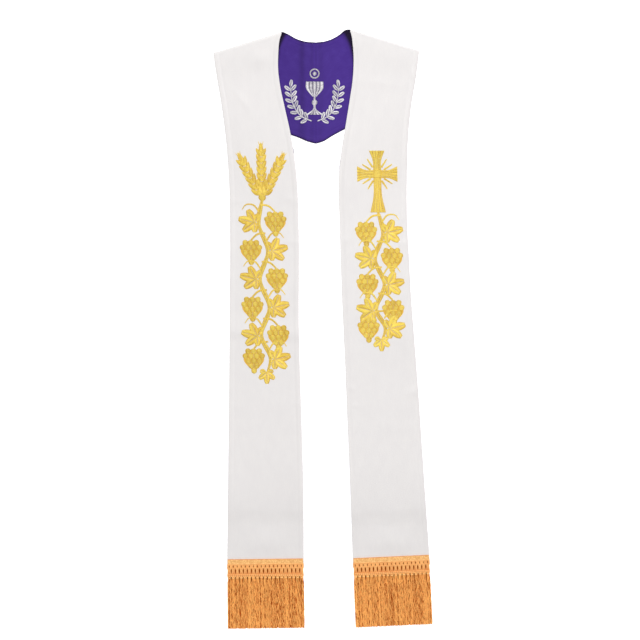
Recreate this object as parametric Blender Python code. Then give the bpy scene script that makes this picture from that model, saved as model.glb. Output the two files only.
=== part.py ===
"""A reversible clerical stole, laid flat with its neck towards +Y and its fringes towards -Y.

Each half is one strip of two cloths, a white shell and a purple lining. It starts at the
centre-back seam, where it lies shell down, runs out to the shoulder, turns over in a soft fold
and comes down the front, shell up, to a hem with a fringe. The front lies on the back and then
sinks to the table past the back's lower edge.

Lengths are in metres. The tables are in millimetres: "down" is measured from the level of the
neck towards the hem, and "across" from the centre line outwards.
"""

import math
import random
from collections import namedtuple

import bmesh
import bpy
import numpy as np

MM = 0.001

# Cloth
WALL = 1.2 * MM
SEAM_GAP = 0.3 * MM
CLOTH = 2 * WALL + SEAM_GAP
LINING_INSET = 0.8 * MM
COLUMNS = 10

# The shoulder fold, where the strip turns over
FOLD_GAP = 2.6 * MM
REST_GAP = 0.6 * MM
FOLD_SETTLE = 70 * MM
FOLD_RADIUS = CLOTH + FOLD_GAP / 2
FOLD_STEPS = 6

# How the front sinks from the back to the table
SINK_MARGIN = 22 * MM
SINK_RUN = 48 * MM

# Steps of the strip: shares of the way from the fold to the centre-back seam, and rows of the front
BACK_STEPS = (0.0, 0.1, 0.22, 0.36, 0.5, 0.64, 0.78, 0.9, 1.0)
FRONT_ROWS = (64, 80, 97, 115, 134, 154, 175, 197, 220, 244, 270, 300, 340, 400, 480, 560,
              720, 810, 890, 1085, 1125)
CREASE_SHARES = (0.5, 1.0)

Edge = namedtuple("Edge", "down across")
Slant = namedtuple("Slant", "down rise")
Crease = namedtuple("Crease", "down height rise fall")
Peek = namedtuple("Peek", "down half_length amount")
Half = namedtuple(
    "Half",
    "name side shoulder_tip neck_point outer_edge inner_edge back_hem back_neck slants hem "
    "creases peek",
)

LEFT = Half(
    name="left",
    side=-1,
    shoulder_tip=Edge(47.3, 221.5),
    neck_point=Edge(1.6, 72.0),
    outer_edge=(
        Edge(95, 213.9), Edge(159, 203.2), Edge(224, 194.6), Edge(320, 187.3), Edge(449, 184.9),
        Edge(620, 186.0), Edge(793, 187.1), Edge(965, 188.7), Edge(1155, 191.4),
    ),
    inner_edge=(
        Edge(28, 78.8), Edge(52, 81.0), Edge(86, 81.0), Edge(118, 77.0), Edge(163, 67.5),
        Edge(222, 54.4), Edge(256, 48.6), Edge(320, 40.9), Edge(417, 37.0), Edge(643, 36.4),
        Edge(793, 32.3), Edge(965, 27.5), Edge(1155, 25.8),
    ),
    back_hem=(
        Edge(95, 208.6), Edge(138, 189.2), Edge(174, 157.0), Edge(202, 111.8),
        Edge(223.2, 54.4), Edge(230.5, 34.8), Edge(237.6, 18.7), Edge(242.1, 0.0),
    ),
    back_neck=(Edge(7.8, 60.2), Edge(16.6, 43.6), Edge(23.0, 24.1), Edge(25.0, 0.0)),
    slants=(
        Slant(95, 40), Slant(150, 26), Slant(220, 10), Slant(320, 0), Slant(965, 0), Slant(1155, 2),
    ),
    hem=1155,
    creases=(Crease(646, 1.2, 40, 18), Crease(1014, 2.4, 70, 34)),
    peek=Peek(262, 26, 1.6),
)

RIGHT = Half(
    name="right",
    side=1,
    shoulder_tip=Edge(42.6, 222.5),
    neck_point=Edge(-3.6, 71.4),
    outer_edge=(
        Edge(95, 215.4), Edge(159, 204.9), Edge(224, 198.2), Edge(288, 196.1), Edge(417, 196.3),
        Edge(482, 199.8), Edge(578, 205.0), Edge(675, 212.5), Edge(793, 221.2), Edge(965, 232.3),
        Edge(1145, 245.2),
    ),
    inner_edge=(
        Edge(20, 76.8), Edge(48, 80.2), Edge(78, 80.4), Edge(106, 78.5), Edge(141, 73.5),
        Edge(189, 65.8), Edge(256, 55.0), Edge(310, 49.0), Edge(417, 50.8), Edge(578, 55.9),
        Edge(707, 62.0), Edge(836, 67.3), Edge(965, 72.8), Edge(1153, 79.2),
    ),
    back_hem=(
        Edge(90, 209.5), Edge(132, 190.5), Edge(166, 158.0), Edge(190, 112.0),
        Edge(211.8, 60.6), Edge(226.8, 32.9), Edge(237.6, 15.5), Edge(242.1, 0.0),
    ),
    back_neck=(Edge(-0.2, 62.6), Edge(8.2, 50.7), Edge(16.6, 36.6), Edge(22.8, 18.7), Edge(25.0, 0.0)),
    slants=(
        Slant(95, 40), Slant(150, 26), Slant(220, 10), Slant(320, 0), Slant(600, -5),
        Slant(1145, -7.5),
    ),
    hem=1145,
    creases=(Crease(1012, 2.4, 70, 34),),
    peek=Peek(303, 36, 1.6),
)

# Fringe. "past" is measured from the hem down the fringe, below the cloth's face "under" to "top"
Profile = namedtuple("Profile", "past under top width")
HEADER = (
    Profile(-19.4, 3.0, 4.7, 162.0),
    Profile(-18.0, 3.0, 5.1, 162.4),
    Profile(-2.0, 3.0, 5.1, 162.8),
    Profile(1.5, 2.9, 4.5, 163.0),
    Profile(8.0, 1.9, 3.7, 163.4),
    Profile(14.5, 0.6, 2.9, 163.8),
    Profile(16.0, 0.4, 3.8, 164.0),
    Profile(20.5, 0.2, 3.8, 164.2),
    Profile(22.5, 0.2, 3.4, 164.2),
)
TUFTS = 19
SLOT_WIDTH = 3.4 * MM
SLOT_FROM, SLOT_TO = 3.0 * MM, 13.0 * MM
SLOT_FLOOR = 0.8 * MM
STRAND_WIDTH = 1.6 * MM
STRAND_THICKNESS = 1.2 * MM
STRAND_LAYERS = ((1.1 * MM, 2), (2.5 * MM, 3))
ROOT_SPACING = 2.3 * MM
ROOT_PAST = 20.8 * MM
SPREAD_PAST = 50 * MM
STRAND_END = 131 * MM
END_SPREAD = 168.0 * MM
END_VARIES = 1.6 * MM
SWAY = 0.42 * MM

# Finishes: colour, roughness, metallic
WHITE_SATIN = ("white_satin", (0.84, 0.81, 0.81, 1), 0.55, 0.0)
PURPLE_SATIN = ("purple_satin", (0.075, 0.036, 0.255, 1), 0.55, 0.0)
GOLD_YARN = ("gold_yarn", (0.75, 0.30, 0.075, 1), 0.45, 0.0)


def smooth(knots, values):
    """The curve through the values at these knots, with no corner between them."""
    knots = np.asarray(knots, float)
    values = np.asarray(values, float)
    slopes = np.gradient(values, knots, axis=0)

    def at(place):
        place = min(max(place, knots[0]), knots[-1])
        i = min(int(np.searchsorted(knots, place, side="right")) - 1, len(knots) - 2)
        span = knots[i + 1] - knots[i]
        s = (place - knots[i]) / span
        return (
            values[i] * (1 + 2 * s) * (1 - s) ** 2
            + values[i + 1] * s * s * (3 - 2 * s)
            + slopes[i] * span * s * (1 - s) ** 2
            + slopes[i + 1] * span * s * s * (s - 1)
        )

    return at


def path(points):
    """The smooth curve through plan points, by its share of the way from first to last."""
    points = np.asarray(points, float)
    steps = np.linalg.norm(np.diff(points, axis=0), axis=1)
    return smooth(np.concatenate([[0], np.cumsum(steps)]) / steps.sum(), points)


def ease(share):
    """0 to 1 with a level start and end."""
    share = min(max(share, 0.0), 1.0)
    return share * share * (3 - 2 * share)


def plan(half, edge):
    """The point of a table row on the table top."""
    return np.array([half.side * edge.across, -edge.down]) * MM


def fold_line(half):
    """The fold's axis, from the shoulder to the neck, and the way that the fold faces."""
    tip, neck = plan(half, half.shoulder_tip), plan(half, half.neck_point)
    along = (neck - tip) / np.linalg.norm(neck - tip)
    facing = np.array([-along[1], along[0]]) * -half.side
    return tip - facing * FOLD_RADIUS, neck - facing * FOLD_RADIUS, facing


def back_edges(half):
    """The back's lower edge and its neck edge, from the fold to the centre-back seam."""
    tip, neck, _ = fold_line(half)
    lower = [tip] + [plan(half, edge) for edge in half.back_hem]
    upper = [neck] + [plan(half, edge) for edge in half.back_neck]
    for line in (lower, upper):
        line[-1] = line[-1] + np.array([half.side * SEAM_GAP / 2, 0])
    return path(lower), path(upper)


def front_ends(half):
    """A function from a row's distance down to its outer and inner ends."""
    tip, neck, _ = fold_line(half)
    tip_down, neck_down = -tip[1] / MM, -neck[1] / MM
    outer = smooth(
        [tip_down] + [edge.down for edge in half.outer_edge],
        [half.side * tip[0] / MM] + [edge.across for edge in half.outer_edge],
    )
    inner = smooth(
        [neck_down] + [edge.down for edge in half.inner_edge],
        [half.side * neck[0] / MM] + [edge.across for edge in half.inner_edge],
    )
    rise = smooth(
        [tip_down] + [slant.down for slant in half.slants],
        [tip_down - neck_down] + [slant.rise for slant in half.slants],
    )

    def ends(down):
        inner_down = down - rise(down)
        return (
            plan(half, Edge(down, outer(down))),
            plan(half, Edge(inner_down, inner(inner_down))),
        )

    return ends


def past_back(half):
    """A function from a plan point to its distance past the back's lower edge."""
    lower, _ = back_edges(half)
    line = np.array([lower(s) for s in np.linspace(0, 1, 80)])
    start, step = line[:-1], np.diff(line, axis=0)
    length_squared = (step**2).sum(1)

    def distance(point):
        share = np.clip(((point - start) * step).sum(1) / length_squared, 0, 1)
        away = point - (start + share[:, None] * step)
        size = np.linalg.norm(away, axis=1)
        i = int(size.argmin())
        turn = step[i, 0] * away[i, 1] - step[i, 1] * away[i, 0]
        return size[i] * (1 if turn * half.side > 0 else -1)

    return distance


def crease_height(half, down):
    """How far the pressed creases lift the front at this row: a slow rise and a quick fall."""
    lift = 0.0
    for crease in half.creases:
        past = down - crease.down
        lift += crease.height * MM * ease(1 - (past / crease.fall if past > 0 else -past / crease.rise))
    return lift


def front_height(half):
    """A function from a plan point of the front and its row to the height of its underside."""
    tip, _, facing = fold_line(half)
    distance = past_back(half)

    def height(point, down):
        from_fold = float(np.dot(tip - point, facing))
        gap = REST_GAP + (FOLD_GAP - REST_GAP) * ease(1 - from_fold / FOLD_SETTLE)
        sunk = ease((distance(point) - SINK_MARGIN) / SINK_RUN)
        return (CLOTH + gap) * (1 - sunk) + crease_height(half, down)

    return height


def front_downs(half, hem):
    """The rows of the front, with more of them over each crease."""
    over = [crease.down for crease in half.creases]
    for crease in half.creases:
        over += [crease.down - share * crease.rise for share in CREASE_SHARES]
        over += [crease.down + share * crease.fall for share in CREASE_SHARES]
    return sorted([*FRONT_ROWS, *over, hem])


def between(outer, inner, inset_outer, inset_inner):
    """The row's plan points, from its outer to its inner end."""
    along = (inner - outer) / np.linalg.norm(inner - outer)
    first, last = outer + along * inset_outer, inner - along * inset_inner
    return [first + (last - first) * i / COLUMNS for i in range(COLUMNS + 1)]


def strip_rows(half, inset):
    """The rows of one cloth from the centre-back seam to the hem.

    Each row has the points of the lining's free face, and the way from there to the shell.
    """
    lower, upper = back_edges(half)
    tip, neck, facing = fold_line(half)
    ends = front_ends(half)
    height = front_height(half)
    facing_3d = np.array([*facing, 0.0])
    up = np.array([0.0, 0.0, 1.0])
    rows = []
    for share in reversed(BACK_STEPS[1:]):
        points = [np.array([*p, CLOTH]) for p in between(lower(share), upper(share), inset, inset)]
        rows.append((points, -up))
    for step in range(FOLD_STEPS + 1):
        angle = math.pi * (1 - step / FOLD_STEPS)
        out = facing_3d * math.sin(angle) + up * math.cos(angle)
        centre = CLOTH + FOLD_GAP / 2
        points = [
            np.array([*p, centre]) + out * FOLD_GAP / 2 for p in between(tip, neck, inset, inset)
        ]
        rows.append((points, out))
    for down in front_downs(half, half.hem - inset / MM):
        outer, inner = ends(down)
        peek = max(0.0, 1 - abs(down - half.peek.down) / half.peek.half_length)
        inner_inset = inset - (peek * half.peek.amount * MM if inset else 0.0)
        points = [
            np.array([*p, height(p, down)]) for p in between(outer, inner, inset, inner_inset)
        ]
        rows.append((points, up))
    return rows


def mesh_object(name, bm, finish):
    """The bmesh as a finished object with its faces pointing out."""
    bmesh.ops.recalc_face_normals(bm, faces=bm.faces)
    mesh = bpy.data.meshes.new(name)
    bm.to_mesh(mesh)
    bm.free()
    mesh.shade_smooth()
    mesh.set_sharp_from_angle(angle=math.radians(40))
    obj = bpy.data.objects.new(name, mesh)
    bpy.context.collection.objects.link(obj)
    mesh.materials.append(material(*finish))
    return obj


def material(name, colour, roughness, metallic):
    """The Principled material of this name, made once."""
    found = bpy.data.materials.get(name)
    if found:
        return found
    made = bpy.data.materials.new(name)
    made.use_nodes = True
    shader = made.node_tree.nodes["Principled BSDF"]
    shader.inputs["Base Color"].default_value = colour
    shader.inputs["Roughness"].default_value = roughness
    shader.inputs["Metallic"].default_value = metallic
    made.diffuse_color = colour
    return made


def closed_grid(bm, near, far):
    """A closed wall between two grids of points that match row by row."""
    def verts(grid):
        return [[bm.verts.new(tuple(point)) for point in row] for row in grid]

    def skin(grid, flip):
        for first, second in zip(grid, grid[1:]):
            for i in range(len(first) - 1):
                a, b, c, d = first[i], first[i + 1], second[i + 1], second[i]
                for face in ((a, b, c), (a, c, d)):
                    bm.faces.new(face[::-1] if flip else face)

    below, above = verts(near), verts(far)
    skin(below, True)
    skin(above, False)
    rims = (
        (below[0], above[0]),
        (below[-1], above[-1]),
        ([row[0] for row in below], [row[0] for row in above]),
        ([row[-1] for row in below], [row[-1] for row in above]),
    )
    for low, high in rims:
        skin([low, high], False)


def cloth(name, half, near, far, inset, finish):
    """One cloth of a half: the wall from "near" to "far" above the lining's free face."""
    rows = strip_rows(half, inset)
    bm = bmesh.new()
    closed_grid(
        bm,
        [[point + out * near for point in points] for points, out in rows],
        [[point + out * far for point in points] for points, out in rows],
    )
    return mesh_object(name, bm, finish)


def fringe_frame(half):
    """A function from places on the fringe, across and past the hem, to points in space."""
    outer, inner = front_ends(half)(half.hem)
    centre = (outer + inner) / 2
    across = (inner - outer) / np.linalg.norm(inner - outer) * -half.side
    past = np.array([across[1], -across[0]])

    def place(along, distance, height):
        return np.array([*(centre + across * along + past * distance), height])

    return place


def header_height(distance, column):
    """The header's "under" or "top" height at this distance past the hem."""
    return float(
        np.interp(distance / MM, [p.past for p in HEADER], [getattr(p, column) for p in HEADER])
    ) * MM


def header_band(half):
    """The fringe's woven header, a strip on the cloth's face that sinks past its hem."""
    place = fringe_frame(half)
    shares = np.linspace(-0.5, 0.5, 3)
    grids = [
        [
            [place(s * p.width * MM, p.past * MM, getattr(p, column) * MM) for s in shares]
            for p in HEADER
        ]
        for column in ("under", "top")
    ]
    bm = bmesh.new()
    closed_grid(bm, *grids)
    return mesh_object(f"fringe_{half.name}", bm, GOLD_YARN)


def tuft_centres():
    """Where the tufts of the fringe stand across the header."""
    width = HEADER[-1].width * MM
    pitch = width / TUFTS
    return [-width / 2 + pitch * (i + 0.5) for i in range(TUFTS)], pitch


def header_slots(half):
    """The dark gaps between the header's crossing cords, as one cutter."""
    place = fringe_frame(half)
    centres, pitch = tuft_centres()
    bm = bmesh.new()
    for centre in centres[:-1]:
        middle = centre + pitch / 2
        sides = (middle - SLOT_WIDTH / 2, middle + SLOT_WIDTH / 2)
        rows = (SLOT_FROM, (SLOT_FROM + SLOT_TO) / 2, SLOT_TO)
        grids = [
            [[place(x, q, header_height(q, "under") + lift) for x in sides] for q in rows]
            for lift in (SLOT_FLOOR, 4 * MM)
        ]
        closed_grid(bm, *grids)
    cutter = mesh_object(f"slots_{half.name}", bm, GOLD_YARN)
    cutter.hide_render = True
    cutter.display_type = "WIRE"
    return cutter


def strand_line(place, root, end, level, length, sway):
    """The middle line of one strand, from its root in the header to its cut end."""
    spread = root + (end - root) * ease(SPREAD_PAST / length)
    low = root + (end - root) * 0.97 + sway[1]
    return (
        place(root, ROOT_PAST, level),
        place(spread + sway[0], SPREAD_PAST, level),
        place(low, (SPREAD_PAST + length) / 2, level),
        place(end, length, level),
    )


def fringe_strands(half):
    """All the strands of one fringe, as one mesh of separate four-sided bodies."""
    place = fringe_frame(half)
    varied = random.Random(f"fringe {half.name}")
    centres, pitch = tuft_centres()
    spread = (END_SPREAD - STRAND_WIDTH) / (HEADER[-1].width * MM)
    bm = bmesh.new()
    for centre in centres:
        for level, count in STRAND_LAYERS:
            for i in range(count):
                turn = i - (count - 1) / 2
                sway = [varied.uniform(-SWAY, SWAY) for _ in range(2)]
                length = STRAND_END - varied.uniform(0, END_VARIES)
                line = strand_line(
                    place, centre + turn * ROOT_SPACING, (centre + turn * pitch / count) * spread,
                    level, length, sway,
                )
                square_tube(bm, place, line)
    return mesh_object(f"strands_{half.name}", bm, GOLD_YARN)


def square_tube(bm, place, line):
    """A four-sided tube along the line, flat on the table."""
    sideways = place(1, 0, 0) - place(0, 0, 0)
    half_width = sideways * STRAND_WIDTH / 2
    half_height = np.array([0, 0, STRAND_THICKNESS / 2])
    grids = [
        [[point - half_width + rise, point + half_width + rise] for point in line]
        for rise in (-half_height, half_height)
    ]
    closed_grid(bm, *grids)


def boolean(obj, other, operation):
    """An exact Boolean modifier of the object with the other one."""
    modifier = obj.modifiers.new(operation.lower(), "BOOLEAN")
    modifier.operation = operation
    modifier.solver = "EXACT"
    modifier.object = other


def fringe(half):
    """One fringe: its header with the strands fused into its lower edge."""
    band = header_band(half)
    boolean(band, header_slots(half), "DIFFERENCE")
    strands = fringe_strands(half)
    boolean(band, strands, "UNION")
    strands.hide_render = True
    strands.display_type = "WIRE"
    return band


def centre_on_origin(objects):
    """Moves the whole stole so that the middle of its outline is the origin."""
    bpy.context.view_layer.update()
    graph = bpy.context.evaluated_depsgraph_get()
    corners = np.array(
        [corner for obj in objects for corner in obj.evaluated_get(graph).bound_box]
    )
    middle = (corners.min(0) + corners.max(0)) / 2
    origin = bpy.data.objects.new("stole", None)
    bpy.context.collection.objects.link(origin)
    origin.location = (-middle[0], -middle[1], 0)
    for obj in bpy.data.objects:
        if obj is not origin:
            obj.parent = origin


def main():
    for obj in list(bpy.data.objects):
        bpy.data.objects.remove(obj)
    pieces = []
    for half in (LEFT, RIGHT):
        pieces.append(
            cloth(f"shell_{half.name}", half, WALL + SEAM_GAP, CLOTH, 0.0, WHITE_SATIN)
        )
        pieces.append(cloth(f"lining_{half.name}", half, 0.0, WALL, LINING_INSET, PURPLE_SATIN))
        pieces.append(fringe(half))
    centre_on_origin(pieces)


main()
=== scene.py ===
"""The looks of a reversible clerical stole that lies flat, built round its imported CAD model.

White satin fronts lie over a purple satin back. Gold embroidery runs down both fronts, silver
embroidery is on the back, and each hem has a gold fringe under a woven header.

Lengths are in metres. The tables are in millimetres: "down" is measured from the level of the
neck towards the hem, and "across" from the centre line outwards.
"""

import math
import random
from collections import namedtuple

import bmesh
import bpy
import numpy as np
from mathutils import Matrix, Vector, noise
from mathutils.bvhtree import BVHTree

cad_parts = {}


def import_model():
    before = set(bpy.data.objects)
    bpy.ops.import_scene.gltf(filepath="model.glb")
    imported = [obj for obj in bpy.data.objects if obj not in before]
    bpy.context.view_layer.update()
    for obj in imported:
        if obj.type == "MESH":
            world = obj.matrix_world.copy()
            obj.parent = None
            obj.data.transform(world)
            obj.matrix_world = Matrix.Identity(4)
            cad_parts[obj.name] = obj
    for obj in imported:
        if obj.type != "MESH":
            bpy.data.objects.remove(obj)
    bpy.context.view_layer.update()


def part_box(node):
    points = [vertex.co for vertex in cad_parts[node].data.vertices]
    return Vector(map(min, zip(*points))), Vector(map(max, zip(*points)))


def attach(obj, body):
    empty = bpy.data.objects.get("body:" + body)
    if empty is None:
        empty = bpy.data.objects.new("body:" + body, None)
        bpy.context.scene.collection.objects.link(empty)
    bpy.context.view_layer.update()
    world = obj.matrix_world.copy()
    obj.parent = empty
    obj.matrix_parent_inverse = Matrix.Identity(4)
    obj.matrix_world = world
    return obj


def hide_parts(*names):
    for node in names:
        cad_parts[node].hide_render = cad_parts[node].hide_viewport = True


MM = 0.001

# Cloth, with the CAD model's sizes, except that the fronts sink to the table on a longer slope
WALL = 1.2 * MM
SEAM_GAP = 0.3 * MM
CLOTH = 2 * WALL + SEAM_GAP
LINING_INSET = 0.8 * MM
FOLD_GAP = 2.6 * MM
REST_GAP = 0.6 * MM
FOLD_SETTLE = 70 * MM
FOLD_RADIUS = CLOTH + FOLD_GAP / 2
LINING_OVER = -0.3 * MM
NECK_TRIM = 3 * MM
TRIM_RUN = 26
NECK_FLARE = 3.4 * MM
FLARE_WIDTH = 8.5 * MM
FLARE_TURNED = 0.85
SINK_MARGIN = 15 * MM
SINK_RUN = 170 * MM

Edge = namedtuple("Edge", "down across")
Slant = namedtuple("Slant", "down rise")
Crease = namedtuple("Crease", "down height rise fall")
Peek = namedtuple("Peek", "down half_length amount")
# Corner: the painted shade in a neck corner of the purple back, under the front's inner edge
Corner = namedtuple("Corner", "amount width length")
Half = namedtuple(
    "Half",
    "name side shoulder_tip neck_point outer_edge inner_edge back_hem back_neck slants hem "
    "creases peek corner_shade",
)

LEFT = Half(
    name="left",
    side=-1,
    shoulder_tip=Edge(47.3, 221.5),
    neck_point=Edge(1.6, 72.0),
    outer_edge=(
        Edge(95, 213.9), Edge(159, 203.2), Edge(224, 194.6), Edge(320, 187.3), Edge(449, 184.9),
        Edge(620, 186.0), Edge(793, 187.1), Edge(965, 188.7), Edge(1155, 191.4),
    ),
    inner_edge=(
        Edge(28, 78.8), Edge(52, 81.0), Edge(86, 81.0), Edge(118, 77.0), Edge(163, 67.5),
        Edge(222, 54.4), Edge(256, 48.6), Edge(320, 40.9), Edge(417, 37.0), Edge(643, 36.4),
        Edge(793, 32.3), Edge(965, 27.5), Edge(1155, 25.8),
    ),
    back_hem=(
        Edge(95, 208.6), Edge(138, 189.2), Edge(174, 157.0), Edge(202, 111.8),
        Edge(223.2, 54.4), Edge(230.5, 34.8), Edge(237.6, 18.7), Edge(242.1, 0.0),
    ),
    back_neck=(Edge(7.8, 60.2), Edge(16.6, 43.6), Edge(23.0, 24.1), Edge(25.0, 0.0)),
    slants=(
        Slant(95, 40), Slant(150, 26), Slant(220, 10), Slant(320, 0), Slant(965, 0), Slant(1155, 2),
    ),
    hem=1155,
    creases=(Crease(646, 1.2, 40, 18), Crease(1026, 2.0, 300, 38), Crease(985, 3.4, 300, 170)),
    peek=Peek(258, 9, 1.7),
    corner_shade=Corner(1.9, 12, 46),
)

RIGHT = Half(
    name="right",
    side=1,
    shoulder_tip=Edge(42.6, 222.5),
    neck_point=Edge(-3.6, 71.4),
    outer_edge=(
        Edge(95, 215.4), Edge(159, 204.9), Edge(224, 198.2), Edge(288, 196.1), Edge(417, 196.3),
        Edge(482, 199.8), Edge(578, 205.0), Edge(675, 212.5), Edge(793, 221.2), Edge(965, 232.3),
        Edge(1145, 245.2),
    ),
    inner_edge=(
        Edge(20, 76.8), Edge(48, 80.2), Edge(78, 80.4), Edge(106, 78.5), Edge(141, 73.5),
        Edge(189, 65.8), Edge(256, 55.0), Edge(310, 49.0), Edge(417, 50.8), Edge(578, 55.9),
        Edge(707, 62.0), Edge(836, 67.3), Edge(965, 72.8), Edge(1153, 79.2),
    ),
    back_hem=(
        Edge(90, 209.5), Edge(132, 190.5), Edge(166, 158.0), Edge(190, 112.0),
        Edge(211.8, 60.6), Edge(226.8, 32.9), Edge(237.6, 15.5), Edge(242.1, 0.0),
    ),
    back_neck=(Edge(-0.2, 62.6), Edge(8.2, 50.7), Edge(16.6, 36.6), Edge(22.8, 18.7), Edge(25.0, 0.0)),
    slants=(
        Slant(95, 40), Slant(150, 26), Slant(220, 10), Slant(320, 0), Slant(600, -5),
        Slant(1145, -7.5),
    ),
    hem=1145,
    creases=(Crease(1024, 2.0, 300, 38), Crease(980, 3.4, 300, 165)),
    peek=Peek(288, 22, 1.3),
    corner_shade=Corner(1.9, 18, 76),
)

# The fine mesh of the cloths
BACK_STEP_COUNT = 34
BACK_LENGTH = 0.2
FOLD_STEP_COUNT = 14
FRONT_ROW_COUNT = 240
FOLD_TO_FRONT = 2
SETTLE = 24
EDGE_COLUMNS = (0, 0.15, 0.45, 0.9, 1.8, 3.2, 5, 7.5, 9.5, 10.8, 12, 13.2, 15)
INNER_COLUMNS = 24
EDGE_ROUND = 0.9 * MM
ROLL_HEIGHT = 0.4 * MM
ROLL_START = 2.2 * MM
ROLL_FLAT = 8 * MM
ROLL_END = 11.5 * MM
DITCH_PLACE = 12 * MM
DITCH_WIDTH = 1.1 * MM
DITCH_DEPTH = 0.1 * MM
EDGE_DROP = 0.8
WAVE_HEIGHT = 0.5 * MM
WAVE_SIZE = 0.07
FRONT_WAVE_SEED = 0.0
BACK_WAVE_SEED = 3.0
BACK_WAVE_SHARE = 0.5
SHARP_ANGLE = 60

# Soft marks of the fronts, from the photo: "aside" is measured outwards from a front's middle
Mark = namedtuple("Mark", "aside down length width turn height")
MARKS = {
    "left": (
        Mark(0, 1096, 84, 24, 0, 1.7), Mark(-74, 1000, 50, 95, 0, 1.9),
        Mark(74, 1000, 50, 95, 0, 1.9), Mark(43, 1108, 22, 5, 96, 0.7), Mark(24, 1111, 26, 5, 84, 0.9),
        Mark(-2, 1108, 26, 5, 98, 0.9), Mark(-22, 1112, 24, 5, 80, 0.8), Mark(-44, 1109, 20, 4, 95, 0.6),
        Mark(-50, 1046, 34, 12, 0, -0.6), Mark(30, 1040, 46, 12, 0, -0.5),
        Mark(-62, 454, 30, 6, 0, 0.7), Mark(-58, 362, 34, 8, -10, 0.6), Mark(56, 366, 30, 7, 12, 0.5),
        Mark(20, 150, 46, 7, -62, 0.5), Mark(-30, 62, 44, 16, 20, 1.2), Mark(66, 806, 16, 3, 0, 0.5),
        Mark(-70, 802, 18, 3, 0, 0.5), Mark(-34, 560, 60, 26, 70, 0.6),
    ),
    "right": (
        Mark(4, 1094, 84, 24, 0, 1.7), Mark(-72, 1000, 50, 95, 0, 1.9),
        Mark(76, 1000, 50, 95, 0, 1.9), Mark(-40, 1106, 22, 5, 84, 0.7), Mark(-20, 1109, 26, 5, 98, 0.9),
        Mark(2, 1106, 26, 5, 82, 0.9), Mark(22, 1108, 24, 5, 96, 0.9), Mark(46, 1104, 22, 4, 84, 0.6),
        Mark(-34, 1044, 44, 12, 0, -0.6), Mark(46, 1040, 40, 12, 0, -0.5),
        Mark(66, 96, 30, 7, 70, 1.0), Mark(66, 456, 28, 6, 0, 0.6), Mark(-62, 450, 30, 8, 0, 0.6),
        Mark(-64, 768, 22, 6, 25, 0.6), Mark(66, 776, 26, 8, -20, 0.7), Mark(-56, 806, 20, 4, 10, 0.5),
        Mark(0, 852, 30, 9, 70, 0.5), Mark(-10, 112, 120, 10, 4, 0.45), Mark(40, 640, 70, 24, 80, 0.5),
    ),
}
BACK_MARK = Mark(-22, 120, 260, 8, 90, 1.0)

# Painted shade in the folds, along the rim and in the neck corners of the purple back, "aside" from its
# middle; a fold's "height" is how dark its painted shade is
PaintedFoldShade = namedtuple("PaintedFoldShade", "aside width height")
BACK_FOLD_PAINTED_SHADES = (
    PaintedFoldShade(-30, 6, 0.24), PaintedFoldShade(-50, 60, 0.12), PaintedFoldShade(-9, 3, 0.14), PaintedFoldShade(10, 5, 0.1),
)
RIM_WIDTH = 3.2 * MM
RIM_PAINTED_SHADE = 0.7
CORNER_TAPER = 0.38
CORNER_LEAST = 1

# Embroidery, in millimetres: "aside" is measured from the middle of the front or of the back
THREAD_PITCH = 0.62
THREAD_RADIUS = 0.36 * MM
THREAD_SIDES = 3
STITCH_RISE = 0.13
STITCH_TOP = 0.9 * MM
STITCH_SHARES = (0.0, 0.28, 0.72, 1.0)
# A light crown and dark ends on each stitch: painted highlight and painted shade
STITCH_HIGHLIGHT_AND_SHADE = (-0.5, 0.2, 0.2, -0.5)
STITCH_VARIES = 0.22
STITCH_JITTER = 0.12
THREAD_LIFT = 0.4
# Painted sheen: the range each band's tone is drawn from, for the sheen its stitch direction would
# catch; the right front's range is painted lighter
GOLD_PAINTED_SHEENS = {"left": (0.34, 0.76), "right": (0.46, 0.92)}
SILVER_PAINTED_SHEENS = (0.35, 0.75)
STITCH_SLANT = 1.2
STROKE_STEP = 2
STROKE_LEAST = 6
LANE_WIDTH = 7.5
LANE_SPARE = 0.3
LANE_GAP = 0.35
UNDERLAY_LIFT = 0.12 * MM
SEAM_REACH = 1.3 * MM
SEAM_THREAD = 0.4 * MM
SEAM_SUNK = 0.1 * MM
SEAM_POINTS = 60
SEAM_ENDS = 0.5
SEAM_TONE = 0.3
ABOVE_ALL = 100 * MM

Stroke = namedtuple("Stroke", "points widths")
Leaf = namedtuple("Leaf", "aside down turn length width")
Berry = namedtuple("Berry", "aside down radius")
Ground = namedtuple("Ground", "points widths")
Lobe = namedtuple("Lobe", "turn length width")
Ear = namedtuple("Ear", "aside down turn length pairs")
Cross = namedtuple("Cross", "aside down up side foot narrow wide")

Axis = namedtuple("Axis", "first last aside")
DESIGN_AXES = {"left": Axis(232, 768, -5), "right": Axis(256, 686, 4)}
LEFT_NODES = (412, 473, 534, 595, 656, 706)
RIGHT_NODES = (434, 490, 546, 602, 640)
STEM_SWAY = 9
STEM_WIDTHS = (5, 10, 7, 3)

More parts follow.
